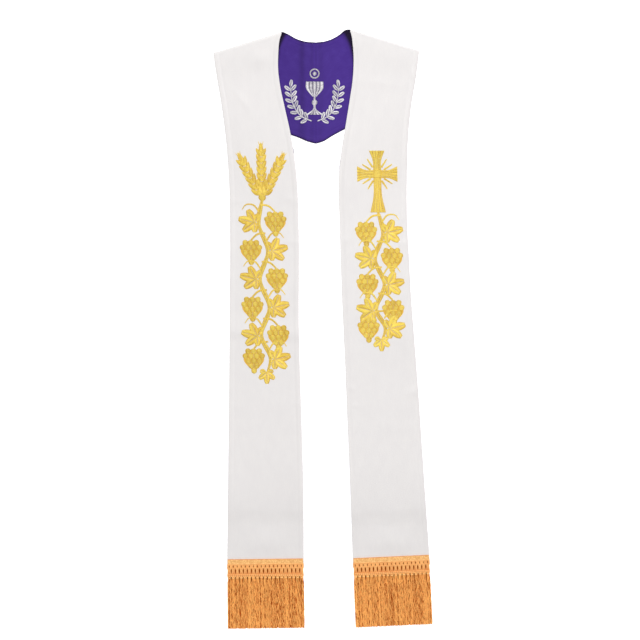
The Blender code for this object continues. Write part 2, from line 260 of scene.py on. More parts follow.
# The parts of the vine at each of its nodes: "aside" from the stem and "down" from the node
TWIG_REACH, TWIG_RISE, TWIG_WIDTH = 9, 6, 3.2
STALK = Stroke(((5, -38), (-12, -36), (-26, -24)), (3.6, 4, 3.4))
CURL = Stroke(((7, -22), (20, -38), (36, -38), (44, -28)), (3.2, 3.4, 2.6, 1.4))
BUNCH_ASIDE, BUNCH_DOWN = -27, -18
BUNCH_ROWS = (3, 4, 3, 2, 1)
BUNCH_TOP = 0.5
BUNCH_GROUND = (0.8, 0.9, 0.6)
BERRY_RADIUS = 5.9
BERRY_PITCH = 2.05
BERRY_ROW = 1.8
BERRY_END = 0.96
BERRY_POINTS = 8
LEAF_LENGTH = 35
LEAF_TURN = 76
END_LEAF = 0.7
END_LEAF_UP = 4
VINE_ENDS = {"left": (362, 738), "right": (390, 668)}
LEAF_POINTS = 14
LEAF_AHEAD = 0.16
LEAF_SKEW = 0.8
LEAF_FULLNESS = 0.85
LEAF_LEAST = 0.3
LEAF_LOBES = (
    Lobe(0, 1.0, 0.5), Lobe(50, 0.88, 0.46), Lobe(-50, 0.88, 0.46), Lobe(104, 0.6, 0.4),
    Lobe(-104, 0.6, 0.4),
)
WHEAT_EARS = (Ear(0, 352, 0, 92, 7), Ear(-4, 356, -26, 84, 6), Ear(4, 356, 26, 84, 6))
GOLD_CROSS = Cross(0, 308, 50, 43, 82, 17, 33)
ARM_START, ARM_WAIST = 0.45, 0.6
WAIST_WIDTH = 1.05
CROSS_BOSS = 0.62
RAY_TURNS = (33, 57, -33, -57, 123, 147, -123, -147)
RAY_REACH = (17, 38)
RAY_WIDTHS = (4.2, 2.4)

# Wheat, with a grain's sizes as shares of the step between two pairs or of the grain's length
EAR_KNOT = Berry(0, 358, 8)
EAR_STALK = (2.2, 1.6)
GRAIN_START = 0.2
GRAIN_SPREAD = 30
GRAIN_LENGTH, TIP_GRAIN_LENGTH = 1.6, 1.7
GRAIN_ENDS = (1.2, 0.6)
GRAIN_WIDTHS = (0.38, 0.42, 0.3)
BEARD_SPREAD = 13
BEARD_REACH = (4, 22)
BEARD_WIDTHS = (1.5, 0.9)

# The silver wafer and cup, from the top down, and the sprays beside them. The cup's strokes run
# down the design's middle, so their points give only how far down they are
SILVER_MIDDLE = -3
WAFER_DOWN = 92
WAFER_RADIUS, WAFER_BOSS, WAFER_RIM = 9.5, 4.6, 3.4
WAFER_POINTS = 17
CUP_BOWL = Stroke((109, 124, 141), (38, 36, 9))
CUP_STEM = Stroke((140, 150), (5, 4.4))
CUP_KNOT_DOWN, CUP_KNOT_RADIUS = 154, 6.2
CUP_FOOT = Stroke((158, 168, 180), (4.4, 7, 38))
SPRAY_STEM = ((6, 194), (28, 184), (46, 158), (52, 122))
SPRAY_WIDTHS = (2.6, 2.6, 1.4)
SPRAY_PAIRS = 7
SPRAY_FIRST, SPRAY_LAST = 0.1, 0.92
SPRAY_STEP = 0.05
SPRAY_SPREAD = 46
SPRAY_END_TURN = -8
SPRAY_LEAF = (17, 7.4)

# Fringe
Profile = namedtuple("Profile", "past under top width")
HEADER = (
    Profile(-19.4, 3.0, 4.7, 162.0),
    Profile(-18.0, 3.0, 5.1, 162.4),
    Profile(-2.0, 3.0, 5.1, 162.8),
    Profile(1.5, 2.9, 4.5, 163.0),
    Profile(8.0, 1.9, 3.7, 163.4),
    Profile(14.5, 0.6, 2.9, 163.8),
    Profile(16.0, 0.4, 3.8, 164.0),
    Profile(20.5, 0.2, 3.8, 164.2),
    Profile(22.5, 0.2, 3.4, 164.2),
)
TUFTS = 19
STRAND_END = 130.2 * MM
STRAND_VARIES = 1.5
END_SPREAD = 165 * MM
STRAND_REACH = 82.2 * MM
STRAND_ROOT = 18 * MM
STRAND_POINTS = 50
STRAND_RADIUS = 0.66 * MM
STRAND_SIDES = 4
STRAND_LEVELS = (2.0, 5.0)
STRAND_FALL = 0.3
STRAND_CLEAR = 1.3
STRAND_SPREAD, SPREAD_RATE = 0.6, 5
STRAND_TONES = (0.2, 1.4)
UPPER_STRANDS = 17
LOWER_STRANDS = 5
LOWER_POINTS = 9
LOWER_BUNCHING = 1.5
LOWER_VARIES = (0.5, 2)
LOWER_CLEAR = 1.05
LOWER_GIRTH = 1.5
LOWER_GATHER, LOWER_GATHER_RATE = 0.5, 8
# The under layer is toned dark as painted shade beneath the crinkled strands
LOWER_PAINTED_SHADE_TONES = (-0.1, 0.3)
TUFT_ROOTS = (0.26, 0.38)
TUFT_END = 0.55
TUFT_STRAY = 0.3
CRIMP = 0.9 * MM
CRIMP_LENGTH = 24 * MM
CRIMP_VARIES = (0.7, 1.35)
CRIMP_RATE = 6
CRIMP_LIFT = 0.5
KINK = 0.35 * MM
KINK_LENGTH = 6.5 * MM
# Painted highlight along each strand's crimps, a little ahead of them; the clumps are random tone
GLINT = 0.2
GLINT_AHEAD = 0.6
CLUMP = 1.0
CLUMP_SIZE = (1.2 * MM, 20 * MM)

# Cords of the header
CORD_RADIUS = 0.85 * MM
CORD_SIDES = 6
LATTICE_PART = (0.1, 0.2)
LATTICE_GATHER = (0.38, 0.56)
LATTICE_VARIES = (-0.2, 0.15)
LATTICE_REACHES = (-1.0, -0.6, -0.2, 0.2, 0.6, 1.0)
LATTICE_FROM, LATTICE_TO, LATTICE_POINTS = -9, 16, 16
LATTICE_WIDTH = 0.44
LATTICE_SUNK, LATTICE_ARCH = 0.55, 0.25
# The second value and the next line: painted shade, darkening the lattice cords as they run down into
# the header's lower part
LATTICE_TONE, LATTICE_PAINTED_SHADE = 0.66, 0.25
SHADE_FROM, SHADE_RUN = 4, 8
HOLE_PLACE, HOLE_WIDTH, HOLE_REACH = -3.8, 1.8, 1.1
GATHER_RUN, PART_FROM, PART_RUN = 4, 6, 9
SIDE_FROM, SIDE_TO, SIDE_POINTS = -10, 16, 10
SIDE_INSET = 2 * MM
SIDE_SUNK = 0.8 * MM
SIDE_TONE, SIDE_GIRTH = 0.6, 1.1
CordAcross = namedtuple("CordAcross", "past girth tone beads")
CORDS_ACROSS = (
    CordAcross(-18.9, 0.7, 0.3, 0), CordAcross(-8.5, 0.75, 0.8, 0), CordAcross(14.4, 1.1, 0.7, 0.2),
    CordAcross(17.2, 1.3, 0.8, 0.3),
)
ACROSS_LIFT = 0.1 * MM
ACROSS_POINTS = 160
SCALLOP_PLACE, SCALLOP_DEPTH = -1.5 * MM, 2.6 * MM
SCALLOP_LIFT = 0.2 * MM
SCALLOP_POINTS = 8
SCALLOP_TONE, SCALLOP_GIRTH = 0.85, 0.75
LOOP_TOP = 19.2 * MM
LOOP_DEPTH = 2.2 * MM
LOOP_HEIGHT = 4.5 * MM
LOOP_HALF = 0.34
LOOP_POINTS = 9
LOOP_TONE, LOOP_GIRTH = 0.85, 1.7
LOOP_VARIES = (-0.15, 0.15)

# Sheets of the header: the woven band, and the ground behind the cords, made dark as painted shade in
# the holes
BAND_FROM, BAND_TO = -19.2, -8.2
BAND_ROWS, BAND_COLUMNS = 16, 190
WEAVE_ACROSS, WEAVE_DOWN = 5.2 * MM, 6.4 * MM
WEAVE_HEIGHT = 0.35 * MM
GROUND_FROM, GROUND_TO = -8.6, 34
GROUND_ROWS, GROUND_COLUMNS = 16, 20
GROUND_INSET = 1.6 * MM
GROUND_LIFT = 0.5 * MM
GROUND_LEAST = 0.7 * MM
GROUND_WALL = 0.3 * MM

# Finishes: the light and the dark tone of each
Tones = namedtuple("Tones", "light dark")
WHITE_SATIN = Tones((0.72, 0.695, 0.685), (0.695, 0.67, 0.665))
PURPLE_SATIN = Tones((0.063, 0.027, 0.245), (0.053, 0.02, 0.215))
PURPLE_THREAD = Tones((0.03, 0.01, 0.12), (0.02, 0.006, 0.09))
GOLD_THREAD = Tones((1.0, 0.8, 0.145), (0.69, 0.42, 0.034))
SILVER_THREAD = Tones((0.92, 0.9, 0.92), (0.16, 0.14, 0.22))
GOLD_FRINGE = Tones((1.0, 0.49, 0.138), (0.46, 0.088, 0.003))
GOLD_BRAID = Tones((1.0, 0.56, 0.19), (0.66, 0.18, 0.03))
GOLD_BAND = Tones((0.96, 0.557, 0.2), (0.67, 0.31, 0.08))
GOLD_UNDERLAY = (0.7, 0.43, 0.07)
SILVER_UNDERLAY = (0.2, 0.18, 0.26)
# The fringe's ground, dark brown as painted shade in the header's holes and between the roots
FRINGE_GROUND_PAINTED_SHADE = (0.27, 0.06, 0.005)
# Near-black purple for the painted shade on the back's rim, folds and neck corners
PAINTED_SHADE_COLOUR = (0.007, 0.002, 0.02)
FLOOR_WHITE = (0.98, 0.98, 0.98)

# Patterns, in repeats a metre on each axis
TWILL = (900, 900, 1)
SLUB = (900, 60, 1)
MOTTLE = (60, 30, 1)
BAND_WEAVE = (300, 300, 1)
THREAD_PLY = (700, 700, 700)
FRINGE_PLY = (420, 420, 420)
PLY_TONE = 0.3

# Light: the floor glows a little, so that it stays white beside the cloth
SKY_LIGHT = 0.6
FLOOR_GLOW = 0.6
FLOOR_SIDE = 24
FLOOR_LEVEL = -0.3 * MM
KEY_PLACE = (0.6, 5.4, 9.0)
KEY_SIZE = 4.1
KEY_POWER = 768

# The picture, in the row frame
PIXEL = 2.15 * MM
PICTURE_SIDE = 640
PICTURE_CENTRE = (8.6, -621.4)
LENS = 110
SENSOR = 36


def smooth(knots, values):
    """The curve through the values at these knots, with no corner between them."""
    knots = np.asarray(knots, float)
    values = np.asarray(values, float)
    slopes = np.gradient(values, knots, axis=0)

    def at(place):
        place = min(max(place, knots[0]), knots[-1])
        i = min(int(np.searchsorted(knots, place, side="right")) - 1, len(knots) - 2)
        span = knots[i + 1] - knots[i]
        s = (place - knots[i]) / span
        return (
            values[i] * (1 + 2 * s) * (1 - s) ** 2
            + values[i + 1] * s * s * (3 - 2 * s)
            + slopes[i] * span * s * (1 - s) ** 2
            + slopes[i + 1] * span * s * s * (s - 1)
        )

    return at


def path(points):
    """The smooth curve through plan points, by its share of the way from first to last."""
    points = np.asarray(points, float)
    steps = np.linalg.norm(np.diff(points, axis=0), axis=1)
    return smooth(np.concatenate([[0], np.cumsum(steps)]) / steps.sum(), points)


def ease(share):
    """0 to 1 with a level start and end."""
    share = min(max(share, 0.0), 1.0)
    return share * share * (3 - 2 * share)


def plan(half, edge):
    """The point of a table row on the table top."""
    return np.array([half.side * edge.across, -edge.down]) * MM


def fold_line(half):
    """The fold's axis, from the shoulder to the neck, and the way that the fold faces."""
    tip, neck = plan(half, half.shoulder_tip), plan(half, half.neck_point)
    along = (neck - tip) / np.linalg.norm(neck - tip)
    facing = np.array([-along[1], along[0]]) * -half.side
    return tip - facing * FOLD_RADIUS, neck - facing * FOLD_RADIUS, facing


def back_edges(half):
    """The back's lower edge and its neck edge, from the fold to the centre-back seam."""
    tip, neck, _ = fold_line(half)
    lower = [tip] + [plan(half, edge) for edge in half.back_hem]
    upper = [neck] + [plan(half, edge) for edge in half.back_neck]
    for line in (lower, upper):
        line[-1] = line[-1] + np.array([half.side * SEAM_GAP / 2, 0])
    return path(lower), path(upper)


def front_ends(half):
    """A function from a row's distance down to its outer and inner ends."""
    tip, neck, _ = fold_line(half)
    tip_down, neck_down = -tip[1] / MM, -neck[1] / MM
    outer = smooth(
        [tip_down] + [edge.down for edge in half.outer_edge],
        [half.side * tip[0] / MM] + [edge.across for edge in half.outer_edge],
    )
    inner = smooth(
        [neck_down] + [edge.down for edge in half.inner_edge],
        [half.side * neck[0] / MM] + [edge.across for edge in half.inner_edge],
    )
    rise = smooth(
        [tip_down] + [slant.down for slant in half.slants],
        [tip_down - neck_down] + [slant.rise for slant in half.slants],
    )

    def ends(down):
        inner_down = down - rise(down)
        return (
            plan(half, Edge(down, outer(down))),
            plan(half, Edge(inner_down, inner(inner_down))),
        )

    return ends


def past_back(half):
    """A function from a plan point to its distance past the back's lower edge."""
    lower, _ = back_edges(half)
    line = np.array([lower(s) for s in np.linspace(0, 1, 80)])
    start, step = line[:-1], np.diff(line, axis=0)
    length_squared = (step**2).sum(1)

    def distance(point):
        share = np.clip(((point - start) * step).sum(1) / length_squared, 0, 1)
        away = point - (start + share[:, None] * step)
        size = np.linalg.norm(away, axis=1)
        i = int(size.argmin())
        turn = step[i, 0] * away[i, 1] - step[i, 1] * away[i, 0]
        return size[i] * (1 if turn * half.side > 0 else -1)

    return distance


def crease_height(half, down):
    """How far the pressed creases lift the front at this row: a slow rise and a quick fall."""
    lift = 0.0
    for crease in half.creases:
        past = down - crease.down
        lift += crease.height * MM * ease(1 - (past / crease.fall if past > 0 else -past / crease.rise))
    return lift


def front_height(half):
    """A function from a plan point of the front and its row to the height of its underside."""
    tip, _, facing = fold_line(half)
    distance = past_back(half)

    def height(point, down):
        from_fold = float(np.dot(tip - point, facing))
        gap = REST_GAP + (FOLD_GAP - REST_GAP) * ease(1 - from_fold / FOLD_SETTLE)
        sunk = ease((distance(point) - SINK_MARGIN) / SINK_RUN)
        return (CLOTH + gap) * (1 - sunk) + crease_height(half, down)

    return height


def mark_height(mark, aside, down):
    """How far one soft mark lifts the cloth at this place."""
    turn = math.radians(mark.turn)
    x, y = aside - mark.aside, down - mark.down
    along = (x * math.cos(turn) + y * math.sin(turn)) / (mark.length / 2)
    beside = (-x * math.sin(turn) + y * math.cos(turn)) / mark.width
    return mark.height * MM * math.exp(-(along**2) - beside**2)


def wave(point, seed):
    """The cloth's gentle unevenness at a plan point, from 0 up."""
    place = Vector((point[0] / WAVE_SIZE, point[1] / WAVE_SIZE, seed))
    return WAVE_HEIGHT * (0.5 + 0.5 * noise.noise(place))


def roll(edge_distance):
    """The relief of the outer face over the turned-in seam along an edge."""
    band = ease(edge_distance / ROLL_START)
    band *= 1 - ease((edge_distance - ROLL_FLAT) / (ROLL_END - ROLL_FLAT))
    rounded = max(0.0, 1 - edge_distance / EDGE_ROUND)
    ditch = math.exp(-(((edge_distance - DITCH_PLACE) / DITCH_WIDTH) ** 2))
    drop = EDGE_ROUND * EDGE_DROP * (1 - math.sqrt(1 - rounded**2))
    return ROLL_HEIGHT * band - drop - DITCH_DEPTH * ditch


# A row of a strip: its plan ends, how far along the strip it is, how far the white cloth is
# drawn back from its inner end, and "lie", which gives the lining's free face at a plan point
# and the way from there to the shell
Row = namedtuple("Row", "outer inner along trim lie")
UP = np.array([0.0, 0.0, 1.0])


def back_rows(half):
    """The rows of the back, from the centre-back seam to the fold."""
    lower, upper = back_edges(half)

    def lie(point, aside):
        height = CLOTH + wave(point, BACK_WAVE_SEED) * BACK_WAVE_SHARE
        height += mark_height(BACK_MARK, point[0] / MM, -point[1] / MM)
        return np.array([*point, height]), -UP

    shares = np.linspace(1, 0, BACK_STEP_COUNT, endpoint=False)
    return [Row(lower(share), upper(share), -share * BACK_LENGTH, 0.0, lie) for share in shares]


def fold_rows(half):
    """The rows of the shoulder fold, from the back round to the front."""
    tip, neck, facing = fold_line(half)
    facing_3d = np.array([*facing, 0.0])

    def row(share):
        angle = math.pi * (1 - share)
        out = facing_3d * math.sin(angle) + UP * math.cos(angle)

        def lie(point, aside):
            return np.array([*point, CLOTH + FOLD_GAP / 2]) + out * FOLD_GAP / 2, out

        return Row(tip, neck, share * math.pi * FOLD_RADIUS, NECK_TRIM, lie)

    return [row(step / FOLD_STEP_COUNT) for step in range(FOLD_STEP_COUNT + 1)]


def front_rows(half):
    """The rows of the front, from the fold to the hem."""
    ends = front_ends(half)
    height = front_height(half)
    first = -fold_line(half)[0][1] / MM + FOLD_TO_FRONT

    def row(down):
        settled = ease((down - first) / SETTLE) * ease((half.hem - down) / SETTLE)

        def lie(point, aside):
            lift = wave(point, FRONT_WAVE_SEED)
            lift += sum(mark_height(mark, aside, -point[1] / MM) for mark in MARKS[half.name])
            return np.array([*point, height(point, down) + lift * settled]), UP

        trim = NECK_TRIM * (1 - ease((down - first) / TRIM_RUN))
        return Row(*ends(down), down * MM, trim, lie)

    return [row(down) for down in np.linspace(first, half.hem, FRONT_ROW_COUNT)]


def column_places(width):
    """Where a row's points stand, from 0 at its outer end to its width."""
    edge = np.array(EDGE_COLUMNS) * MM
    middle = np.linspace(edge[-1], width - edge[-1], INNER_COLUMNS + 2)[1:-1]
    return np.concatenate([edge, middle, width - edge[::-1]])


Grid = namedtuple("Grid", "points out edge uv")


def strip_grid(half, margins):
    """The lining's free face as a fine grid, with each point's way to the shell."""
    points, outs, edges, uvs = [], [], [], []
    for row in back_rows(half) + fold_rows(half) + front_rows(half):
        width = np.linalg.norm(row.inner - row.outer)
        across = (row.inner - row.outer) / width
        outer_margin, inner_margin = margins(row)
        line, out_line, edge_line, uv_line = [], [], [], []
        for place in column_places(width):
            shifted = outer_margin + place * (width - outer_margin - inner_margin) / width
            base, out = row.lie(row.outer + across * shifted, (width / 2 - shifted) / MM)
            line.append(base)
            out_line.append(out)
            edge_line.append(min(place, width - place))
            uv_line.append((shifted, row.along))
        points.append(line)
        outs.append(out_line)
        edges.append(edge_line)
        uvs.append(uv_line)
    return Grid(np.array(points), np.array(outs), np.array(edges), np.array(uvs))


def closed_wall(name, below, above, uv, material, deep=None):
    """A closed wall between two fine grids, with a UV map in metres and, where given, the painted shade
    of its folds, rim and corners.
    """
    rows, columns = below.shape[:2]
    count = rows * columns
    index = np.arange(count).reshape(rows, columns)

    def skin(grid, flip):
        faces = np.stack([grid[:-1, :-1], grid[:-1, 1:], grid[1:, 1:], grid[1:, :-1]], -1)
        faces = faces.reshape(-1, 4)
        return faces[:, ::-1] if flip else faces

    low, high = index, index + count
    rims = [
        skin(np.stack([low[0], high[0]]), False),
        skin(np.stack([low[-1], high[-1]]), True),
        skin(np.stack([low[:, 0], high[:, 0]]), True),
        skin(np.stack([low[:, -1], high[:, -1]]), False),
    ]
    faces = np.concatenate([skin(low, True), skin(high, False), *rims])
    verts = np.concatenate([below.reshape(-1, 3), above.reshape(-1, 3)])
    mesh = bpy.data.meshes.new(name)
    mesh.from_pydata(verts.tolist(), [], faces.tolist())
    layer = mesh.uv_layers.new(name="UVMap")
    corner_verts = np.empty(len(mesh.loops), int)
    mesh.loops.foreach_get("vertex_index", corner_verts)
    flat_uv = np.concatenate([uv.reshape(-1, 2)] * 2)
    layer.data.foreach_set("uv", flat_uv[corner_verts].ravel())
    if deep is not None:
        # The painted shade, kept on the mesh for the material to mix in
        shades = mesh.attributes.new("deep", "FLOAT", "POINT")
        shades.data.foreach_set("value", np.concatenate([deep.ravel()] * 2))
    return finish_mesh(name, mesh, material)


def linked(name, data):
    """A new object that holds this data, in the scene."""
    obj = bpy.data.objects.new(name, data)
    bpy.context.collection.objects.link(obj)
    return obj


def finish_mesh(name, mesh, material):
    """The mesh as an object, smooth, with its faces pointing out."""
    bm = bmesh.new()
    bm.from_mesh(mesh)
    bmesh.ops.recalc_face_normals(bm, faces=bm.faces)
    bm.to_mesh(mesh)
    bm.free()
    mesh.shade_smooth()
    mesh.set_sharp_from_angle(angle=math.radians(SHARP_ANGLE))
    mesh.materials.append(material)
    return linked(name, mesh)


def shift_of_frame():
    """Where the tables' centre line and neck level lie in the row frame."""
    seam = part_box("shell_left")[1][0] + SEAM_GAP / 2
    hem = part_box("shell_left")[0][1] + LEFT.hem * MM
    return np.array([seam, hem, 0.0])


def shell(half, shift, material):
    """The white cloth of one half, with the relief of its turned-in edges."""
    grid = strip_grid(half, lambda row: (0.0, row.trim))
    relief = np.vectorize(roll)(grid.edge)[..., None]
    relief = np.where(grid.out[..., 2:] < 0, np.minimum(relief, 0), relief)
    inner = grid.points + grid.out * (WALL + SEAM_GAP) + shift
    outer = grid.points + grid.out * (CLOTH + relief) + shift
    return closed_wall(f"cloth_white_{half.name}", inner, outer, grid.uv, material)


def lining(half, shift, material):
    """The purple cloth of one half, which covers the white cloth's edges on the back."""
    grid = strip_grid(half, lining_margins(half))
    relief = np.vectorize(roll)(grid.edge)[..., None]
    moved = shift + neck_flare(half, grid)
    free = grid.points - grid.out * np.where(grid.points[..., 2:] > WALL, relief, 0) + moved
    hidden = grid.points + grid.out * WALL + moved
    # Painted shade of the lining's rim, folds and neck corners
    deep = painted_shade_amount(half, grid)
    return closed_wall(f"cloth_purple_{half.name}", hidden, free, grid.uv, material, deep)


def lining_margins(half):
    """How far inside the white cloth's two edges each row of the lining ends."""
    def margins(row):
        if row.along < 0:
            return LINING_OVER, LINING_OVER
        past = (-row.inner[1] / MM - half.peek.down) / half.peek.half_length
        return LINING_INSET, LINING_INSET - half.peek.amount * MM * math.exp(-(past**2))

    return margins


def neck_flare(half, grid):
    """How far the lining opens past the fold at its neck corner."""
    _, neck, facing = fold_line(half)
    away = np.linalg.norm(grid.points[..., :2] - neck, axis=-1)
    turned = grid.out[..., :2] @ facing
    amount = NECK_FLARE * (1 - FLARE_TURNED * turned) * np.exp(-((away / FLARE_WIDTH) ** 2))
    return amount[..., None] * np.append(facing, 0.0)


def painted_shade_amount(half, grid):
    """How much painted shade each place of the purple back gets: at its rim, its folds and its neck
    corners.
    """
    inner = smooth(*zip(half.neck_point, *half.inner_edge))
    shade_here = half.corner_shade

    def painted_darkness(x, y, edge):
        # Painted shade in the neck corner, narrowing as it runs down the front's inner edge
        down = -y / MM
        gap = inner(down) - half.side * x / MM
        below = max(down - half.neck_point.down, 0) / shade_here.length
        width = shade_here.width * math.exp(-below / CORNER_TAPER) + CORNER_LEAST
        corner = math.exp(-((max(gap, 0) / width) ** 2) - below**2)
        # Painted shade along the back's rim and in its folds
        rim = math.exp(-((edge / RIM_WIDTH) ** 2))
        fold = sum(
            line.height * math.exp(-(((x / MM - line.aside) / line.width) ** 2)) for line in BACK_FOLD_PAINTED_SHADES
        )
        return min(1.0, shade_here.amount * corner + RIM_PAINTED_SHADE * rim + fold)

    return np.vectorize(painted_darkness)(grid.points[..., 0], grid.points[..., 1], grid.edge)


def node(tree, kind, inputs=None, **settings):
    """A new node with its settings, and its inputs set or linked."""
    made = tree.nodes.new(kind)
    for key, value in settings.items():
        setattr(made, key, value)
    for key, value in (inputs or {}).items():
        if isinstance(value, bpy.types.NodeSocket):
            tree.links.new(value, made.inputs[key])
        else:
            made.inputs[key].default_value = value
    return made


def new_material(name):
    """An empty material, its node tree and its output."""
    material = bpy.data.materials.new(name)
    material.use_nodes = True
    material.node_tree.nodes.clear()
    return material, material.node_tree


def shade(tree, **inputs):
    """A Principled shader as the material's surface."""
    named = {key.replace("_", " ").title().replace("Ior", "IOR"): v for key, v in inputs.items()}
    shader = node(tree, "ShaderNodeBsdfPrincipled", named)
    output = node(tree, "ShaderNodeOutputMaterial")
    tree.links.new(shader.outputs[0], output.inputs["Surface"])


def scaled(tree, vector, scale):
    """The vector scaled on each axis."""
    return node(
        tree, "ShaderNodeVectorMath", {0: vector, 1: scale}, operation="MULTIPLY"
    ).outputs[0]


def mixed(tree, factor, first, second):
    """One colour turning into another."""
    mix = node(tree, "ShaderNodeMix", {"Factor": factor, 6: first, 7: second}, data_type="RGBA")
    return mix.outputs[2]


def opaque(colour):
    """A colour as a socket takes it."""
    return (*colour, 1)


def between(tree, factor, tones):
    """A finish's colour, from its dark tone to its light one."""
    return mixed(tree, factor, opaque(tones.dark), opaque(tones.light))


def maths(tree, operation, first, second):
    """The sum, product or the like of two values."""
    return node(tree, "ShaderNodeMath", {0: first, 1: second}, operation=operation).outputs[0]


def fine_noise(tree, vector, scale, detail):
    """Noise over the vector, with its repeats a metre on each axis."""
    inputs = {"Vector": scaled(tree, vector, scale), "Scale": 1.0, "Detail": detail}
    return node(tree, "ShaderNodeTexNoise", inputs).outputs[0]


def bumps(tree, height, strength, distance, **settings):
    """The surface's direction over this relief."""
    inputs = {"Height": height, "Strength": strength, "Distance": distance}
    return node(tree, "ShaderNodeBump", inputs, **settings).outputs[0]


def uv_of(tree):
    """The piece's UV map, which is in metres."""
    return node(tree, "ShaderNodeUVMap", uv_map="UVMap").outputs[0]


def attribute(tree, name):
    """The piece's own attribute of this name."""
    return node(tree, "ShaderNodeAttribute", attribute_name=name).outputs["Fac"]


def ranged(tree, value, low, high, from_low=0.0, from_high=1.0):
    """The value moved from one range to another."""
    inputs = {0: value, 1: from_low, 2: from_high, 3: low, 4: high}
    return node(tree, "ShaderNodeMapRange", inputs).outputs[0]


def satin(name, tones, rough, specular):
    """A soft satin of fine twill with faint slubs, with painted shade mixed in where the piece gives it.
    """
    material, tree = new_material(name)
    uv = uv_of(tree)
    twill = node(
        tree, "ShaderNodeTexWave",
        {"Vector": scaled(tree, uv, TWILL), "Scale": 1.0, "Distortion": 1.2, "Detail": 1.0},
        wave_type="BANDS", bands_direction="DIAGONAL",
    ).outputs[1]
    slub = fine_noise(tree, uv, SLUB, 3.0)
    tone = maths(tree, "MULTIPLY", slub, fine_noise(tree, uv, MOTTLE, 4.0))
    colour = between(tree, ranged(tree, tone, 0, 1, 0.15, 0.4), tones)
    # Painted shade: mixes the colour towards near-black where the piece's attribute says
    colour = mixed(tree, attribute(tree, "deep"), colour, opaque(PAINTED_SHADE_COLOUR))
    weave = bumps(tree, maths(tree, "ADD", twill, slub), strength=0.35, distance=0.2 * MM)
    shade(tree, base_color=colour, roughness=rough, specular_ior_level=specular, normal=weave)
    return material


def woven_band(name, tones):
    """The header's woven band: crossing ridges, with a painted highlight on their tops."""
    material, tree = new_material(name)
    inputs = {"Vector": scaled(tree, uv_of(tree), BAND_WEAVE), "Scale": 1.0, "Randomness": 0.6}
    checks = node(tree, "ShaderNodeTexVoronoi", inputs).outputs[0]
    # Painted highlight: the colour is lightest where the bumps stand highest
    colour = between(tree, ranged(tree, checks, 1, 0, 0.2, 0.8), tones)
    weave = bumps(tree, checks, strength=0.6, distance=0.6 * MM, invert=True)
    shade(tree, base_color=colour, roughness=0.5, sheen_weight=0.1, normal=weave)
    return material


def yarn(name, tones, ply, rough, specular, metallic=0.0):
    """A twisted yarn whose tone comes from each thread's own shade."""
    material, tree = new_material(name)
    place = node(tree, "ShaderNodeTexCoord").outputs["Object"]
    twist = fine_noise(tree, place, ply, 2.0)
    tone = maths(tree, "ADD", attribute(tree, "tone"), ranged(tree, twist, -PLY_TONE, PLY_TONE))
    colour = between(tree, node(tree, "ShaderNodeClamp", {0: tone}).outputs[0], tones)
    relief = bumps(tree, twist, strength=0.4, distance=0.3 * MM)
    shade(
        tree, base_color=colour, roughness=rough, metallic=metallic, specular_ior_level=specular,
        normal=relief,
    )
    return material


def plain(name, colour, rough):
    """A plain matt material."""
    material, tree = new_material(name)
    shade(tree, base_color=opaque(colour), roughness=rough, specular_ior_level=0.1)
    return material


def glowing(name, colour, glow):
    """A plain matt material that also gives off some light, as a lit table does."""
    material, tree = new_material(name)
    shade(
        tree, base_color=opaque(colour), roughness=0.9, emission_color=opaque(colour),
        emission_strength=glow,
    )
    return material


def thread_tree():
    """Geometry Nodes that turn lines into threads, closed at their ends."""
    tree = bpy.data.node_groups.new("threads", "GeometryNodeTree")
    sockets = tree.interface
    sockets.new_socket("Lines", in_out="INPUT", socket_type="NodeSocketGeometry")
    sockets.new_socket("Radius", in_out="INPUT", socket_type="NodeSocketFloat")
    sockets.new_socket("Sides", in_out="INPUT", socket_type="NodeSocketInt")
    sockets.new_socket("Material", in_out="INPUT", socket_type="NodeSocketMaterial")
    sockets.new_socket("Threads", in_out="OUTPUT", socket_type="NodeSocketGeometry")
    given = node(tree, "NodeGroupInput").outputs
    curve = node(tree, "GeometryNodeMeshToCurve", {0: given["Lines"]}).outputs[0]
    girth = node(tree, "GeometryNodeInputNamedAttribute", {"Name": "girth"}).outputs[0]
    ring = node(
        tree, "GeometryNodeCurvePrimitiveCircle",
        {"Resolution": given["Sides"], "Radius": given["Radius"]},
    ).outputs[0]
    tube = node(
        tree, "GeometryNodeCurveToMesh",
        {"Curve": curve, "Profile Curve": ring, "Fill Caps": True, "Scale": girth},
    ).outputs[0]
    soft = node(tree, "GeometryNodeSetShadeSmooth", {0: tube}).outputs[0]
    real = node(tree, "GeometryNodeRealizeInstances", {0: soft}).outputs[0]
    made = node(tree, "GeometryNodeSetMaterial", {0: real, "Material": given["Material"]}).outputs[0]
    node(tree, "NodeGroupOutput", {0: made})
    return tree


Line = namedtuple("Line", "points tone girth")


def threads(name, lines, radius, sides, material):
    """All the lines as one mesh of threads, each with its own tone."""
    counts = [len(line.points) for line in lines]
    points = np.concatenate([line.points for line in lines])
    starts = np.concatenate([[0], np.cumsum(counts)[:-1]])
    pairs = [
        (start + i, start + i + 1) for start, count in zip(starts, counts) for i in range(count - 1)
    ]
    mesh = bpy.data.meshes.new(name + "_lines")
    mesh.from_pydata(points.tolist(), pairs, [])
    for label, values in (
        ("tone", np.concatenate([np.resize(line.tone, n) for n, line in zip(counts, lines)])),
        ("girth", np.concatenate([np.resize(line.girth, n) for n, line in zip(counts, lines)])),
    ):
        layer = mesh.attributes.new(label, "FLOAT", "POINT")
        layer.data.foreach_set("value", values.astype(float))
    source = linked(name + "_lines", mesh)
    modifier = source.modifiers.new("threads", "NODES")
    modifier.node_group = bpy.data.node_groups.get("threads") or thread_tree()
    values = {"Radius": radius, "Sides": sides, "Material": material}
    for item in modifier.node_group.interface.items_tree:
        if item.in_out == "INPUT" and item.name in values:
            modifier[item.identifier] = values[item.name]
    return made_real(source, name)


